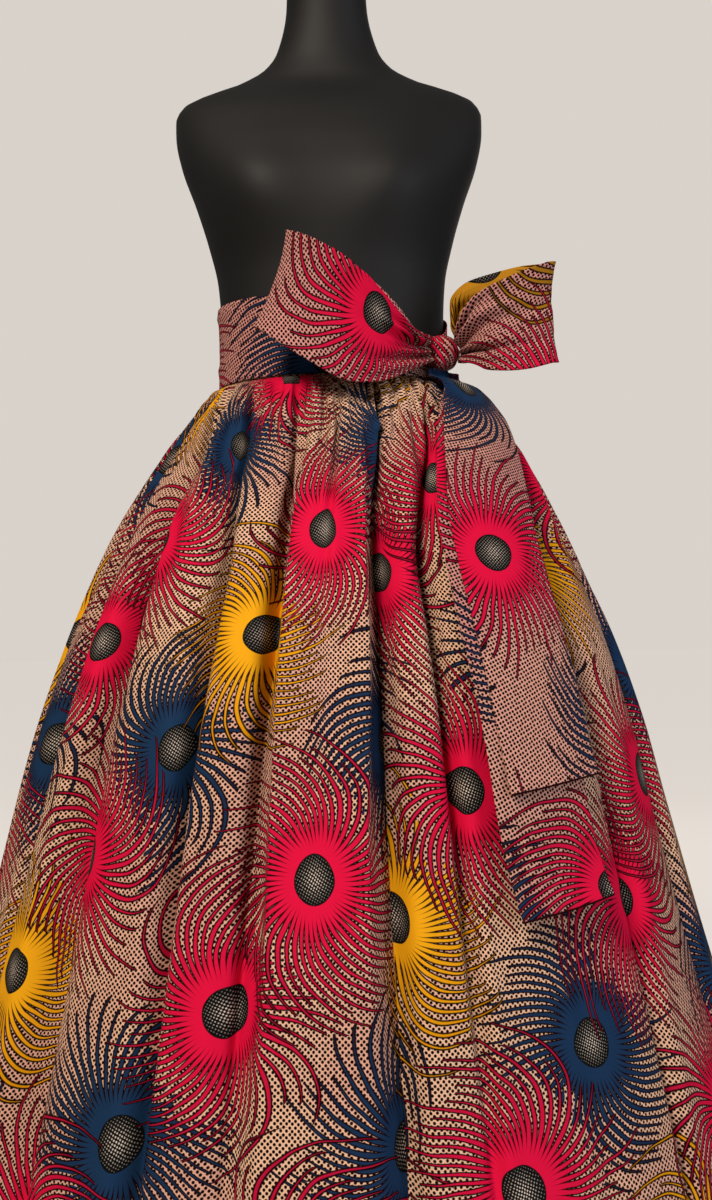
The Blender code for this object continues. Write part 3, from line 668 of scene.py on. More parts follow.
def cloth_mesh(name, grid, flat, material, wrap=False, thickness=COTTON):
    """A thin sheet through a grid of points, with its flat cloth coordinates in metres as a UV map."""
    rows, columns = grid.shape[:2]
    bands = columns if wrap else columns - 1
    row = np.arange(rows - 1)[:, None] * columns
    a = (row + np.arange(bands)).ravel()
    b = (row + (np.arange(bands) + 1) % columns).ravel()
    faces = np.stack([a, a + columns, b + columns, b], 1)
    piece = add_object(name, grid, faces.tolist(), material)
    corners = flat.reshape(-1, 2)[faces.ravel()].reshape(-1, 4, 2)
    if wrap:
        last = np.tile(np.arange(bands) == bands - 1, rows - 1)
        corners[last, 2:, 0] += flat[0, -1, 0] + flat[0, 1, 0] - 2 * flat[0, 0, 0]
    layer = piece.data.uv_layers.new(name="cloth")
    layer.data.foreach_set("uv", corners.ravel().astype(np.float32))
    bpy.ops.object.select_all(action="DESELECT")
    piece.select_set(True)
    bpy.context.view_layer.objects.active = piece
    wall = piece.modifiers.new("wall", "SOLIDIFY")
    wall.thickness = thickness
    wall.offset = 0
    bpy.ops.object.modifier_apply(modifier="wall")
    return piece


def outward(grid, wrap=False):
    """Unit normals of a grid of points whose rows run down and whose columns run towards +X."""
    if wrap:
        across = np.roll(grid, -1, 1) - np.roll(grid, 1, 1)
    else:
        across = np.gradient(grid, axis=1)
    normal = np.cross(np.gradient(grid, axis=0), across)
    return normal / np.linalg.norm(normal, axis=2, keepdims=True)


def run_length(points):
    """How far along a row of points each one lies."""
    return np.concatenate([[0], np.cumsum(np.linalg.norm(np.diff(points, axis=0), axis=1))])


# Soft creases in the skirt: where each one starts and ends, how far it stands out or dips in,
# and half its width
CREASES = table(
    "azimuth_top height_top azimuth_low height_low depth width",
    (-50, 1.005, -44, 0.64, -0.005, 0.01),
    (-41, 0.985, -34, 0.76, 0.0035, 0.0075),
    (-31, 1.01, -27, 0.7, -0.0045, 0.008),
    (-21, 0.93, -19.5, 0.56, 0.0035, 0.011),
    (-11, 1, -9, 0.78, -0.004, 0.007),
    (-7, 0.76, -6, 0.33, -0.003, 0.016),
    (-2, 0.985, -1.5, 0.72, 0.003, 0.008),
    (2.5, 0.9, 1, 0.52, -0.003, 0.011),
    (13, 0.99, 12, 0.69, -0.004, 0.008),
    (17, 0.62, 19.5, 0.25, 0.004, 0.015),
    (30, 0.43, 31.5, 0.13, -0.0035, 0.02),
    (64, 0.99, 61, 0.56, -0.0045, 0.011),
    (78, 0.98, 80, 0.76, -0.004, 0.008),
    (84, 0.7, 87, 0.3, 0.004, 0.018),
    (96, 1, 95, 0.72, 0.0035, 0.009),
    (104, 0.9, 107, 0.42, -0.0045, 0.014),
    (119, 0.985, 121, 0.73, -0.004, 0.008),
    (136, 0.95, 137, 0.52, -0.0045, 0.012),
    (150, 0.99, 149, 0.79, 0.0035, 0.008),
    (158, 0.68, 155, 0.26, -0.004, 0.018),
    (169, 1, 171, 0.7, -0.0045, 0.009),
    (184, 0.96, 186, 0.48, 0.004, 0.013),
    (199, 0.99, 201, 0.76, -0.004, 0.008),
    (214, 0.86, 216, 0.38, -0.0045, 0.015),
    (229, 0.99, 230, 0.74, 0.0035, 0.008),
    (243, 0.97, 241, 0.6, -0.004, 0.011),
    (257, 0.99, 255, 0.71, -0.0045, 0.009),
    (270, 0.82, 273, 0.34, 0.004, 0.016),
    (287, 0.98, 293, 0.69, -0.0045, 0.01),
    (297, 0.64, 299, 0.22, -0.004, 0.017),
    (311, 0.56, 313, 0.16, 0.004, 0.019),
)
CREASE_STARTS = 0.22
CREASE_ENDS = 0.45
CREASE_WANDER = 1.2

# The deep valleys close up at their bottoms: a pair gives where that starts and over how much it grows,
# as a share of a full valley or in metres below the waist seam
SLIT_DEPTH = 0.016
SLIT_WIDTH = 0.0065
SLIT_VALLEYS = (0.3, 0.5)
SLIT_STARTS = (0.006, 0.045)
SLIT_FADES = (0.30, 0.45)
SLIT_FADE = 0.7
SLIT_MOST = 1.1
IRON_REACH = 9
IRONED_VALLEYS = (0.15, 0.45)

# Small gathers that run down from the waist seam, as waves: how many go round, their phase and reach
GATHER_DEPTH = 0.0092
GATHER_START = 0.009
GATHER_WAVES = ((73, 0.6, 0.055), (47, 2.9, 0.095), (31, 4.4, 0.150))
# How they vary round the waist: waves of strong and weak places, and how far they wander sideways.
# Their crests are broad and stand a little proud, their valleys are narrow.
GATHER_PATCHES = (5, 11)
GATHER_STRENGTH = (0.65, 0.35)
GATHER_WANDER = (7, 1.3)
GATHER_CREST = 0.2
GATHER_VALLEY = 1.3
GATHER_SHARPNESS = 6


def ellipse(height, azimuth, lift=0.0):
    """Points of the skirt's outer envelope, moved out by lift, for azimuths in degrees."""
    half_width = read(ENVELOPE, "half_width", height)
    half_depth = read(ENVELOPE, "half_depth", height)
    turn = np.radians(azimuth)
    out = np.stack([np.sin(turn) * half_depth, -np.cos(turn) * half_width], -1)
    out /= np.linalg.norm(out, axis=-1, keepdims=True)
    across = read(ENVELOPE, "shift", height) + half_width * np.sin(turn) + out[..., 0] * lift
    deep = -half_depth * np.cos(turn) + out[..., 1] * lift
    return np.stack([across, deep, np.broadcast_to(height, across.shape)], -1)


def slit(cloth, t, first, last, below):
    """How far a fold's valleys, first and last deep, dip in a narrow line at their very bottoms."""
    near_first = np.exp(-((t * cloth / SLIT_WIDTH) ** 2))
    near_last = np.exp(-(((1 - t) * cloth / SLIT_WIDTH) ** 2))
    first, last = (side * grows(side, *SLIT_VALLEYS) for side in (first[:, None], last[:, None]))
    dip = first * near_first + last * near_last
    below = below[:, None]
    grown = grows(below, *SLIT_STARTS) * (1 - SLIT_FADE * grows(below, *SLIT_FADES))
    return -SLIT_DEPTH * np.minimum(dip, SLIT_MOST) * grown


def ironed(values, deep, turn=0.0):
    """Smooths values across the shallow valleys, which hang open without a crease."""
    columns = values.shape[1]
    past = np.concatenate([values[:, -IRON_REACH:] - turn, values, values[:, :IRON_REACH] + turn], 1)
    kernel = np.hanning(2 * IRON_REACH + 3)[1:-1]
    kernel /= kernel.sum()
    even = sum(share * past[:, k : k + columns] for k, share in enumerate(kernel))
    place = np.arange(columns) / FOLD_COLUMNS
    near = place - np.round(place)
    shallow = 1 - grows(deep[:, np.round(place).astype(int) % deep.shape[1]], *IRONED_VALLEYS)
    return values + (even - values) * shallow * np.exp(-((near * FOLD_COLUMNS / IRON_REACH) ** 4))


def gather_lift(height, azimuth):
    """Small uneven gathers that run down from the waist seam and die out, some sooner than others."""
    below = WAIST_SEAM - height
    turn = np.radians(azimuth)
    lift = np.zeros(azimuth.shape)
    few, many = GATHER_PATCHES
    even, patchy = GATHER_STRENGTH
    wanders, far = GATHER_WANDER
    for count, phase, reach in GATHER_WAVES:
        strength = even + patchy * np.sin(few * turn + phase) * np.sin(many * turn - phase)
        wave = np.cos(count * turn + phase + far * np.sin(wanders * turn + 2 * phase))
        fade = np.exp(-((below / (reach * strength)) ** 2)) * strength
        lift += fade * (GATHER_CREST - GATHER_VALLEY * ((1 - wave) / 2) ** GATHER_SHARPNESS)
    return GATHER_DEPTH * lift * ease(below / GATHER_START)


def crease_lift(height, azimuth):
    """How far the soft creases lift the skirt at each point."""
    radius = (read(ENVELOPE, "half_width", height) + read(ENVELOPE, "half_depth", height)) / 2
    lift = np.zeros(azimuth.shape)
    for top, high, low, deep, depth, width in zip(*CREASES.values()):
        down = (high - height) / (high - deep)
        line = top + (low - top) * down + CREASE_WANDER * np.sin(5 * down + top)
        across = np.radians((azimuth - line + 180) % 360 - 180) * radius
        along_it = ease(down / CREASE_STARTS) * ease((1 - down) / CREASE_ENDS)
        lift += depth * along_it * np.exp(-((across / width) ** 2))
    return lift


def fold_cloth():
    """The cloth in each fold, so that every panel holds its full width."""
    hem = FOLDS["hem"]
    share = (np.roll(hem, -1) - hem) % 360 * FOLDS["fullness"]
    cloth = np.zeros(len(hem))
    for panel, first in enumerate(SEAM_FOLDS):
        last = SEAM_FOLDS[(panel + 1) % len(SEAM_FOLDS)] or len(hem)
        cloth[first:last] = PANEL_WIDTH * share[first:last] / share[first:last].sum()
    return cloth


def fold_path(cloth, chord, small, steep, first, last):
    """How far one fold's cloth goes across and out at each height, from one valley to the next.

    The valleys' walls take up the spare cloth, in the shares first and last, and the crest between
    them stays flat."""
    t = np.linspace(0, 1, FOLD_SAMPLES)
    near = 2 * np.minimum(t, 1 - t)
    share = np.where(t < 0.5, first[:, None], last[:, None]) * 2 / (first + last)[:, None]

    def slope(reach):
        wall = np.maximum(np.minimum(reach, 1)[:, None] * share, 1e-3)
        angle = steep + (STEEPEST - steep) * np.clip(reach - 1, 0, 1)[:, None]
        main = np.sin(math.pi * np.minimum(near / wall, 1) ** VALLEY_ROUNDNESS)
        return np.clip(angle * main * np.sign(0.5 - t) + small, -STEEPEST, STEEPEST)

    low = np.zeros(len(chord))
    high = np.full(len(chord), 2.0)
    for _ in range(SOLVER_STEPS):
        middle = (low + high) / 2
        slack = np.cos(slope(middle)).mean(1) * cloth > chord
        low = np.where(slack, middle, low)
        high = np.where(slack, high, middle)
    angle = slope(low)
    start = np.zeros((len(chord), 1))
    across = np.cos(angle)
    out = np.sin(angle)
    across = np.concatenate([start, np.cumsum((across[:, 1:] + across[:, :-1]) / 2, 1)], 1)
    out = np.concatenate([start, np.cumsum((out[:, 1:] + out[:, :-1]) / 2, 1)], 1)
    return across / across[:, -1:], out / (FOLD_SAMPLES - 1) * cloth


def skirt_grid(heights, columns):
    """Rows of points round the skirt, each fold with the given columns, from 0 at its valley to 1."""
    heights = np.array(heights)
    cloth = fold_cloth()
    below = WAIST_SEAM - heights
    growth = ("depth", "gather", "steep", "room")
    grown, gather_slope, steep, room = (read(FOLD_GROWTH, key, below, "below")[:, None] for key in growth)
    stages = np.array([0, MID_BELOW, WAIST_SEAM - HEM])

    def down_the_skirt(*keys):
        rows = zip(*(FOLDS[key] for key in keys))
        return np.stack([smooth_through(stages, np.array(row), below) for row in rows], 1)

    valley = down_the_skirt("top", "mid", "hem")
    deep = down_the_skirt("deep_top", "deep_mid", "deep_hem")
    next_deep = np.roll(deep, -1, 1)
    width = (np.roll(valley, -1, 1) - valley) % 360
    middle = np.radians(valley + width / 2)
    reach = np.hypot(
        read(ENVELOPE, "half_width", heights)[:, None] * np.cos(middle),
        read(ENVELOPE, "half_depth", heights)[:, None] * np.sin(middle),
    )
    t = np.linspace(0, 1, FOLD_SAMPLES)
    fine = FINE_GATHER * np.exp(-below[:, None] / FINE_REACH)
    paths = []
    for i, gathers in enumerate(FOLDS["gathers"]):
        phase = UNEVEN_BY_FOLD * i + UNEVEN_BY_METRE * below[:, None]
        uneven = UNEVEN_GATHERS * np.sin(phase + 2 * math.pi * t) * t * (1 - t)
        small = gather_slope * np.sin(2 * math.pi * gathers * t + uneven)
        small += fine * np.sin(2 * math.pi * (2 * gathers + 1) * t)
        chord = np.radians(width[:, i]) * reach[:, i]
        paths.append(fold_path(cloth[i], chord, small, steep, deep[:, i], next_deep[:, i]))
    crest = np.stack([out.max(1) for _, out in paths], 1)
    after = crest - np.stack([out[:, -1] for _, out in paths], 1)
    height_of_fold = (crest + after) / 2
    set_back = CREST_SPREAD * (height_of_fold - height_of_fold.max(1, keepdims=True))
    bottom = (crest - set_back + np.roll(after - set_back, 1, 1)) / 2
    pick = np.round(np.array(columns) * (FOLD_SAMPLES - 1)).astype(int)
    near_first = 1 - ease(t[pick] / LEVELLING)
    near_last = 1 - ease((1 - t[pick]) / LEVELLING)
    first = crest - set_back - bottom
    last = after - set_back - np.roll(bottom, -1, 1)
    azimuths = []
    lifts = []
    for i, (across, out) in enumerate(paths):
        lift = out[:, pick] - crest[:, i : i + 1] + set_back[:, i : i + 1]
        lift = lift + first[:, i : i + 1] * near_first + last[:, i : i + 1] * near_last
        lifts.append(lift * grown + slit(cloth[i], t[pick], deep[:, i], next_deep[:, i], below))
        azimuths.append(valley[:, i : i + 1] + width[:, i : i + 1] * across[:, pick])
    azimuth = ironed(np.concatenate(azimuths, 1), deep, 360.0)
    height = heights[:, None]
    extra = crease_lift(height, azimuth) + gather_lift(height, azimuth)
    lift = -room * np.tanh(-(ironed(np.concatenate(lifts, 1), deep) + extra) / room)
    return ellipse(height, azimuth, lift)


# Where the print starts on each panel, in metres of its repeat
PANEL_PRINT = {"left_panel": (0.10, 0.06), "back_panel": (0.31, 0.21), "front_panel": (0.17, 0.13)}
EVEN_SHARES = np.arange(FOLD_COLUMNS) / FOLD_COLUMNS
CROWDING_AT_VALLEYS = 0.07
COLUMN_SHARES = EVEN_SHARES - CROWDING_AT_VALLEYS * np.sin(2 * math.pi * EVEN_SHARES)
SEAM_INSET = 0.06


def build_skirt():
    """Three gathered panels of printed cotton, each a width of cloth from seam to seam."""
    heights = SKIRT_TOP + (HEM - SKIRT_TOP) * np.linspace(0, 1, SKIRT_ROWS) ** ROW_CROWDING
    grid = skirt_grid(heights, COLUMN_SHARES)
    cloth = fold_cloth()
    starts = np.concatenate([[0], np.cumsum(cloth)[:-1]])
    flat_across = (starts[:, None] + cloth[:, None] * COLUMN_SHARES).ravel()
    size = (read(ENVELOPE, "half_width", heights) + read(ENVELOPE, "half_depth", heights)) / 2
    drop = run_length(np.column_stack([heights, size]))
    total = grid.shape[1]
    edges = [fold * FOLD_COLUMNS for fold in SEAM_FOLDS] + [total]
    for name, first, last in zip(PANEL_PRINT, edges, edges[1:]):
        pick = np.arange(first, last + 1)
        middle = grid[:, pick % total].copy()
        flat = flat_across[pick % total] - flat_across[first]
        flat[-1] = PANEL_WIDTH
        chart = np.stack(np.broadcast_arrays(flat[None], -drop[:, None]), -1) + PANEL_PRINT[name]
        for edge, towards in ((0, 1), (-1, -2)):
            middle[:, edge] += (middle[:, towards] - middle[:, edge]) * SEAM_INSET
        piece = cloth_mesh(name + "_cloth", middle, chart, SKIRT_PRINT)
        declare(piece, name)


build_skirt()


# Dress form
TORSO_COLUMNS = 128
TORSO_HEIGHTS = ((0.700, 0.712, 5), (0.720, 1.540, 110), (1.546, 1.560, 6))


def bust(height, azimuth):
    """How far the chest stands forward, as two soft mounds that run into each other."""
    side = read(TORSO, "half_width", height) * np.sin(np.radians(azimuth))
    up = np.exp(-(((height - BUST_HEIGHT) / BUST_SPREAD[1]) ** 2))
    mounds = sum(np.exp(-(((side - x) / BUST_SPREAD[0]) ** 2)) for x in (-BUST_SIDE, BUST_SIDE))
    front = np.clip(np.cos(np.radians(azimuth)), 0, 1) ** 0.5
    return BUST_SWELL * up * mounds * front


def torso_ring(height, azimuth, grow=0.0):
    """A section of the dress form, moved out by grow."""
    turn = np.radians(azimuth)
    sizes = ("half_width", "half_depth", "centre", "power")
    half_width, half_depth, centre, power = (read(TORSO, size, height) for size in sizes)
    across = half_width * np.sign(np.sin(turn)) * np.abs(np.sin(turn)) ** (2 / power)
    deep = centre - half_depth * np.sign(np.cos(turn)) * np.abs(np.cos(turn)) ** (2 / power)
    deep = deep - bust(height, azimuth)
    points = np.stack([across, deep], -1)
    tangent = np.roll(points, -1, 0) - np.roll(points, 1, 0)
    out = np.stack([tangent[:, 1], -tangent[:, 0]], -1)
    out /= np.linalg.norm(out, axis=1, keepdims=True)
    points = points + out * grow
    return np.column_stack([points, np.full(len(points), height)])


def build_torso():
    """The form as one closed skin through its sections, its flat ends closed across."""
    azimuth = np.arange(TORSO_COLUMNS) * 360.0 / TORSO_COLUMNS
    heights = np.concatenate([np.linspace(*span) for span in TORSO_HEIGHTS])
    rings = np.stack([torso_ring(height, azimuth) for height in heights])
    faces = [tuple(reversed(range(TORSO_COLUMNS)))]
    for r in range(len(heights) - 1):
        for c in range(TORSO_COLUMNS):
            a = r * TORSO_COLUMNS + c
            b = r * TORSO_COLUMNS + (c + 1) % TORSO_COLUMNS
            faces.append((a, b, b + TORSO_COLUMNS, a + TORSO_COLUMNS))
    top = (len(heights) - 1) * TORSO_COLUMNS
    faces.append(tuple(range(top, top + TORSO_COLUMNS)))
    piece = add_object("form_torso_cover", rings, faces, FORM_COVER)
    piece.data.set_sharp_from_angle(angle=math.radians(50))
    declare(piece, "form_torso")


build_torso()


# Waistband and wrapped sash
TUBE_COLUMNS = 240
BAND_ROWS = 14
SASH_ROWS = 44
KNOT_AZIMUTH = 57.0
PUCKERS = 58
PUCKER_DEPTH = 0.0004
DIP_DEPTH = 0.046
DIP_REACH = 34.0
DIP_POWER = 2.2

# Long soft creases of the wrapped sash: share of its height where each lies, how far it stands out,
# how much it slants, and where round the waist it begins
SASH_CREASES = (
    (0.20, 0.0015, 0.10, 0.4),
    (0.43, 0.0021, -0.09, 2.1),
    (0.66, 0.0016, 0.08, 4.0),
    (0.87, 0.0012, -0.06, 5.2),
)
SASH_CREASE_WIDTH = 0.05
SASH_CREASE_WANDER = 0.03
SASH_CREASE_STRENGTH = (0.55, 0.45)
UPPER_EDGE_WAVER = 0.0012
LOWER_EDGE_WAVER = 0.0006
KNOT_LIFT = 0.0006
KNOT_REACH = 0.9
KNOT_PINCH = 0.35


def knot_dip(share, azimuth):
    """How far the upper edges are drawn down where the sash is pulled into its knot."""
    turn = (azimuth - KNOT_AZIMUTH + 180) % 360 - 180
    return -DIP_DEPTH * (1 - share) * np.exp(-np.abs(turn / DIP_REACH) ** DIP_POWER)


def band_wave(share, azimuth):
    """The waistband lies flat, a little puckered by the gathers below it."""
    puckers = PUCKER_DEPTH * np.sin(np.radians(azimuth) * PUCKERS) * share**3
    return puckers, knot_dip(share, azimuth)


def sash_wave(share, azimuth):
    """The wrapped sash: long soft creases that close up towards the knot, and edges that waver."""
    turn = np.radians(azimuth - KNOT_AZIMUTH)
    near = np.exp(-((np.angle(np.exp(1j * turn)) / KNOT_REACH) ** 2))
    spread = share + (0.5 - share) * KNOT_PINCH * near
    ridge = np.zeros(spread.shape)
    even, patchy = SASH_CREASE_STRENGTH
    for place, depth, slant, start in SASH_CREASES:
        line = place + slant * np.sin(turn + start) + SASH_CREASE_WANDER * np.sin(3 * turn + start)
        strength = even + patchy * np.sin(2 * turn + start * 1.7)
        ridge += depth * strength * np.exp(-(((spread - line) / SASH_CREASE_WIDTH) ** 2))
    upper = UPPER_EDGE_WAVER * np.sin(2 * turn + 0.8) * (1 - share)
    lower = LOWER_EDGE_WAVER * np.sin(3 * turn) * share
    return ridge + KNOT_LIFT * near, upper + lower + knot_dip(share, azimuth)


STRIP_TURN = math.radians(-64.9)


def turned_chart(run, across, start, turn):
    """Flat cloth coordinates of a piece cut at an angle to the print, from its own run and breadth."""
    run, across = np.broadcast_arrays(run, across)
    x = run * math.cos(turn) - across * math.sin(turn)
    y = run * math.sin(turn) + across * math.cos(turn)
    return np.stack([x + start[0], y + start[1]], -1)


def strip_start(flower, place):
    """Where the sash's cloth must start for a flower to lie at a place on it, along and across."""
    moved = turned_chart(place[0], place[1], (0, 0), STRIP_TURN)
    return (flower[0] - float(moved[0]), flower[1] - float(moved[1]))


def build_tube(replaced, low, high, inner, rows, wave, look):
    """A band round the form; wave gives how far each point stands out from its even surface."""
    material, slot, start, turn, thickness = look
    azimuth = np.arange(TUBE_COLUMNS) * 360.0 / TUBE_COLUMNS
    share = np.linspace(0, 1, rows)
    grow = inner + thickness / 2
    grid = np.stack([torso_ring(high + (low - high) * s, azimuth, grow) for s in share])
    out, drop = wave(share[:, None], azimuth[None])
    grid = grid + outward(grid, wrap=True) * out[..., None]
    grid[..., 2] += drop
    middle = grid[rows // 2]
    run = run_length(np.concatenate([middle, middle[:1]]))
    chart = turned_chart(run[None, :-1], (share * (low - high))[:, None], start, turn)
    piece = cloth_mesh(replaced + "_cloth", grid, chart, material, wrap=True, thickness=thickness)
    declare(piece, replaced)


BAND_PRINT = (SKIRT_PRINT, "skirt_print", (0.05, 0.30), 0.0, COTTON)
WRAP_START = strip_start(NAVY_FLOWER, (0.765, -0.078))
SASH_PRINT = (WRAP_PRINT, "sash_print", WRAP_START, STRIP_TURN, DOUBLE_COTTON)
build_tube("waistband", WAIST_SEAM, BAND_TOP, BAND_CLEARANCE, BAND_ROWS, band_wave, BAND_PRINT)
build_tube("sash_wrap", SASH_BOTTOM, SASH_TOP, SASH_CLEARANCE, SASH_ROWS, sash_wave, SASH_PRINT)


# Bow
STRIP_ROWS = 160
STRIP_COLUMNS = 48
PLEAT_DEPTH = 0.0082
PLEAT_LENGTH = 0.060
# Waves from the strip's lower to its upper edge, and their shares of the depth: the pleats with their
# level and the roundness of their crests, fine creases among them, and long soft folds beyond them
PLEATS = 4.9
PLEAT_SHARE = 2.2
PLEAT_LEVEL = 0.66
PLEAT_ROUNDNESS = 0.8
FINE_CREASES = 17
FINE_SHARE = 0.5
LONG_FOLDS = 5.2
LONG_SHARE = 0.22
LONG_REACH = 2.4


def strip(rows, cup):
    """A grid along the bow's strip: rows follow its middle, columns go from its lower edge up."""
    middle = np.stack([along(rows, axis, STRIP_ROWS) for axis in "xyz"], -1)
    lean = np.radians(along(rows, "lean", STRIP_ROWS))
    half = along(rows, "half_width", STRIP_ROWS)
    upward = np.stack([np.sin(lean), np.zeros(STRIP_ROWS), np.cos(lean)], -1)
    out = np.cross(np.gradient(middle, axis=0), upward)
    out /= np.linalg.norm(out, axis=1, keepdims=True)
    across = np.linspace(-1, 1, STRIP_COLUMNS)
    grid = middle[:, None] + upward[:, None] * (half[:, None] * across)[..., None]
    bulge = cup * (1 - across**2) - cup / 2
    return grid + out[:, None] * bulge[None, :, None], out, across


def pleats(across, distance, phase):
    """Folds that start where the strip is pulled into the knot and run out of it, each its own way."""
    share = across[None]
    length = distance[:, None] / PLEAT_LENGTH
    deep = np.exp(-(length**1.5)) * (1 - np.exp(-length * 9))
    folds = PLEAT_SHARE * (np.abs(np.sin(share * PLEATS + phase)) ** PLEAT_ROUNDNESS - PLEAT_LEVEL)
    folds = folds + FINE_SHARE * np.sin(share * FINE_CREASES + 2 * phase + 1.5 * length)
    long_folds = LONG_SHARE * np.exp(-((length / LONG_REACH) ** 2))
    long_folds = long_folds * np.sin(share * LONG_FOLDS + phase * 1.7 - 0.6 * length)
    return PLEAT_DEPTH * (deep * folds + long_folds * (1 - np.exp(-length * 3)))


def build_loop(replaced, rows, side, phase, material, start):
    """A loop of the bow, from the knot round its end fold and back, cupped towards its own side."""
    grid, out, across = strip(rows, LOOP_CUP * side)
    run = run_length(grid[:, STRIP_COLUMNS // 2])
    distance = np.minimum(run, run[-1] - run)
    grid = grid + out[:, None] * pleats(across, distance, phase)[..., None]
    chart = turned_chart(run[:, None], across[None] * SASH_WIDTH / 2, start, STRIP_TURN)
    piece = cloth_mesh(replaced + "_cloth", grid, chart, material, thickness=DOUBLE_COTTON)
    declare(piece, replaced)


build_loop("sash_loop_right", LOOP_RIGHT, 1, 0.6, KNOT_PRINT, strip_start(RED_FLOWER, (0.092, 0.029)))
build_loop("sash_loop_left", LOOP_LEFT, -1, 2.2, LOOP_PRINT, strip_start(RED_FLOWER, (0.115, -0.105)))

KNOT_ROWS = 44
KNOT_COLUMNS = 80
KNOT_WALL = 0.0008
KNOT_POLE = 0.06
KNOT_START = (0.207, 0.311)
# Folds over the knot, as shares of its radius: how they slant across and up, their number and depth
KNOT_SLANT = (0.8, 0.75)
KNOT_FOLDS = 4.4
KNOT_FOLD_DEPTH = 0.28
KNOT_FOLD_LEVEL = 0.9
KNOT_CREASES = 13
KNOT_CREASE_DEPTH = 0.03


def build_knot():
    """The knot: the strip pulled once round itself, its folds running over it from top to bottom."""
    turn = math.radians(KNOT_TURN)
    tilt = np.linspace(KNOT_POLE, math.pi - KNOT_POLE, KNOT_ROWS)[:, None]
    angle = np.linspace(0, 2 * math.pi, KNOT_COLUMNS, endpoint=False)[None]
    x = np.sin(tilt) * np.cos(angle)
    y = np.sin(tilt) * np.sin(angle)
    z = -np.cos(tilt) + 0 * angle
    slant = KNOT_SLANT[0] * x + KNOT_SLANT[1] * z
    crests = np.abs(np.sin(KNOT_FOLDS * slant + 0.5 * np.sin(3 * z))) ** PLEAT_ROUNDNESS
    folds = KNOT_FOLD_DEPTH * (crests - KNOT_FOLD_LEVEL)
    folds = folds + KNOT_CREASE_DEPTH * np.sin(KNOT_CREASES * slant + 2.0 * y + 3.0 * z)
    size = 1.0 + folds * np.sin(tilt) * np.sqrt(np.maximum(1 - x**2, 0))
    across = x * KNOT_RADII[0] * size
    deep = y * KNOT_RADII[1] * size
    grid = turned_chart(across, deep, (0, 0), turn)
    grid = np.dstack([grid, z * KNOT_RADII[2] * size])[::-1] + KNOT_CENTRE
    chart = np.stack(np.broadcast_arrays(angle * KNOT_RADII[0], -tilt * KNOT_RADII[2]), -1)
    chart = chart[::-1] + KNOT_START
    piece = cloth_mesh("sash_knot_cloth", grid, chart, KNOT_PRINT, wrap=True, thickness=KNOT_WALL)
    declare(piece, "sash_knot")


build_knot()

# A hanging end: its pleats below the knot and their waves across it, the width at which they have gone,
# and its soft roll with the waves across it and for each metre down it
TAIL_PLEAT = 0.0035
TAIL_PLEATS = (8, 15)
TAIL_FULL = 0.052
TAIL_ROLL = 0.0009
TAIL_ROLLS = (2.4, 14)
TAIL_HEM = 0.009
TAIL_HEM_RISE = 0.0008
TAIL_HEM_STEP = 0.002
TAIL_KICK = 0.0055
TAIL_KICK_REACH = 0.055


def build_tail(replaced, rows, start, phase):
    """A hanging end: pulled together at the knot, flat lower down, its end cut at a slight slant."""
    heights = np.linspace(rows["height"].max(), rows["height"].min(), STRIP_ROWS)
    azimuths = read(rows, "azimuth", heights)
    half = read(rows, "half_width", heights)
    lift = read(rows, "lift", heights)
    across = np.linspace(-1, 1, STRIP_COLUMNS)
    radius = np.linalg.norm(ellipse(heights, azimuths)[:, :2], axis=1)
    spread = np.degrees(half / radius)[:, None] * across
    near_end = np.linspace(0, 1, STRIP_ROWS)[:, None] ** 4
    height = heights[:, None] + TAIL_SLANT / 2 * across * near_end
    gathered = (1 - np.clip(half / TAIL_FULL, 0, 1))[:, None]
    broad, fine = (np.sin(across * waves + phase) for waves in TAIL_PLEATS)
    folds = TAIL_PLEAT * gathered * (broad + 0.5 * fine)
    roll = TAIL_ROLL * np.sin(across * TAIL_ROLLS[0] + heights[:, None] * TAIL_ROLLS[1] + phase)
    above_end = (heights - heights[-1])[:, None]
    roll = roll + TAIL_HEM_RISE * ease((TAIL_HEM - above_end) / TAIL_HEM_STEP)
    roll = roll + TAIL_KICK * np.clip(1 - above_end / TAIL_KICK_REACH, 0, 1) ** 2
    grid = ellipse(height, azimuths[:, None] + spread, lift[:, None] + folds + roll)
    run = run_length(grid[:, STRIP_COLUMNS // 2])
    chart = turned_chart(run[:, None], across[None] * SASH_WIDTH / 2, start, STRIP_TURN)
    piece = cloth_mesh(replaced + "_cloth", grid, chart, TAIL_PRINT, thickness=DOUBLE_COTTON)
    # Marks the end's last millimetres, which its material paints dark as the shade under the hem
    near_hem_shade = np.repeat(np.clip(1 - (run[-1] - run) / TAIL_HEM, 0, 1), STRIP_COLUMNS)
    hem_shade_marks = piece.data.attributes.new(HEM_SHADE_MARK, "FLOAT", "POINT")
    hem_shade_marks.data.foreach_set("value", np.tile(near_hem_shade, 2).astype(np.float32))
    declare(piece, replaced)


build_tail("sash_tail_lower", TAIL_LOWER, strip_start(RED_FLOWER, (0.640, 0.060)), 0.4)
build_tail("sash_tail_upper", TAIL_UPPER, strip_start(MIXED_FLOWER, (0.035, -0.010)), 1.9)


# Stand
for steel in ("stand_pole", "stand_base"):
    stand_part = bpy.data.objects[steel]
    stand_part.data.materials.clear()
    stand_part.data.materials.append(STAND_PAINT)


# Studio
WALL_TONE = "#DDD6CF"
FLOOR_PAINT = "#A8A49E"
FLOOR_RADIUS = 60
FLOOR_GAP = 0.0005
WORLD_LIGHT = 0.27
WALL_STRENGTH = 0.96
FLOOR_GLOW = 0.855
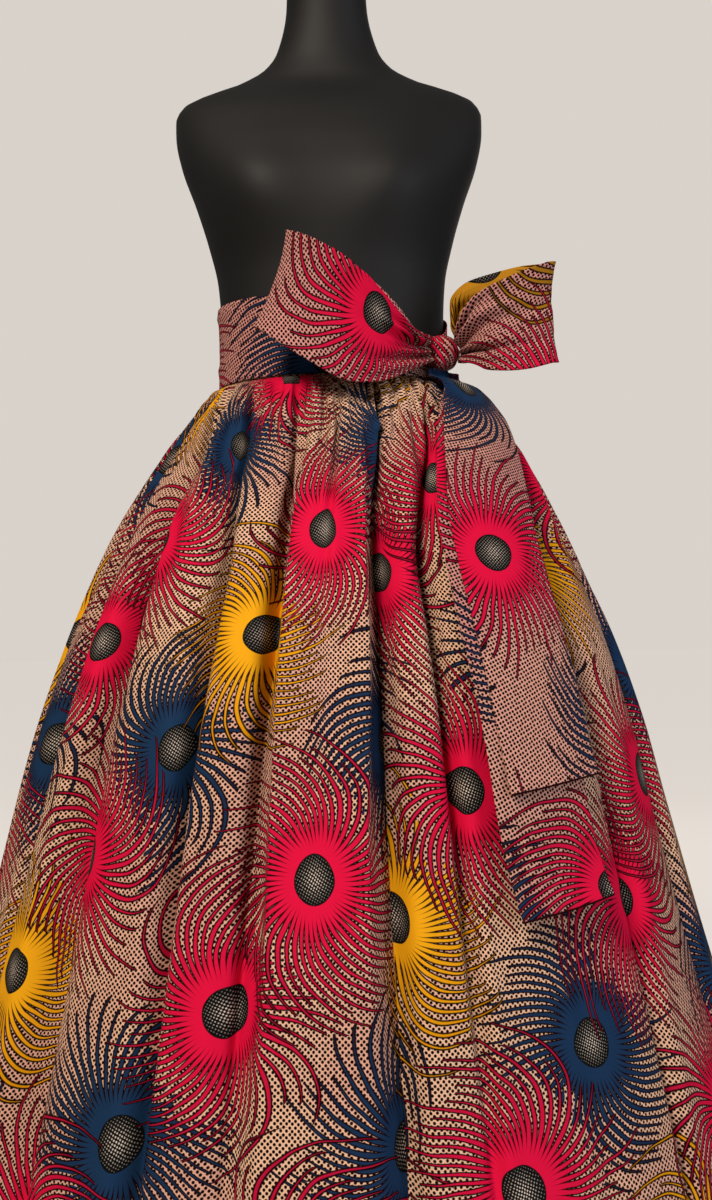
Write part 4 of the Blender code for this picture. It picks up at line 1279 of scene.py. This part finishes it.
# Each lamp: name, place, the point it aims at, size in metres, power in watts and colour
LIGHTS = (
    ("window_light", (-1.2, -2.6, 3.0), (0, 0, 0.7), 1.1, 126, "#FFF1E0"),
    ("back_light", (0.8, 3.2, 2.4), (0, 0, 0.7), 2.5, 12, "#FFF6EC"),
    ("fill_light", (2.8, -2.2, 1.6), (0, 0, 0.8), 2.5, 54, "#F2F4FF"),
)


def add_floor():
    bpy.ops.object.select_all(action="DESELECT")
    place = (0, 0, -FLOOR_GAP)
    bpy.ops.mesh.primitive_circle_add(vertices=96, radius=FLOOR_RADIUS, location=place, fill_type="NGON")
    floor = bpy.context.object
    floor.name = "studio_floor"
    material, add, shader = new_material("pale_floor_paint", roughness=0.9, colour=FLOOR_PAINT)
    shader.inputs["Emission Color"].default_value = linear(WALL_TONE)
    seen = add("LightPath", output="Is Camera Ray")
    glow = add("Math", (seen, FLOOR_GLOW), operation="MULTIPLY")
    material.node_tree.links.new(glow, shader.inputs["Emission Strength"])
    floor.data.materials.append(material)


def add_light(name, place, target, size, power, colour):
    lamp = bpy.data.lights.new(name, "AREA")
    lamp.shape = "DISK"
    lamp.size = size
    lamp.energy = power
    lamp.color = linear(colour)[:3]
    holder = bpy.data.objects.new(name, lamp)
    aim = (Vector(target) - Vector(place)).to_track_quat("-Z", "Y")
    holder.matrix_world = Matrix.Translation(place) @ aim.to_matrix().to_4x4()
    bpy.context.collection.objects.link(holder)


def add_world():
    """A pale room: one tone that lights the skirt, and the wall's own tone behind it."""
    world = bpy.data.worlds.new("studio_world")
    world.use_nodes = True
    tree = world.node_tree
    light = tree.nodes["Background"]
    light.inputs["Color"].default_value = linear(WALL_TONE)
    light.inputs["Strength"].default_value = WORLD_LIGHT
    wall = add_node(tree, "Background", {"Color": linear(WALL_TONE), "Strength": WALL_STRENGTH})
    seen = add_node(tree, "LightPath", output="Is Camera Ray")
    both = add_node(tree, "MixShader", (seen, light.outputs[0], wall))
    tree.links.new(both, tree.nodes["World Output"].inputs["Surface"])
    bpy.context.scene.world = world


add_floor()
add_world()
for light in LIGHTS:
    add_light(*light)
bpy.context.scene.view_settings.view_transform = "Standard"
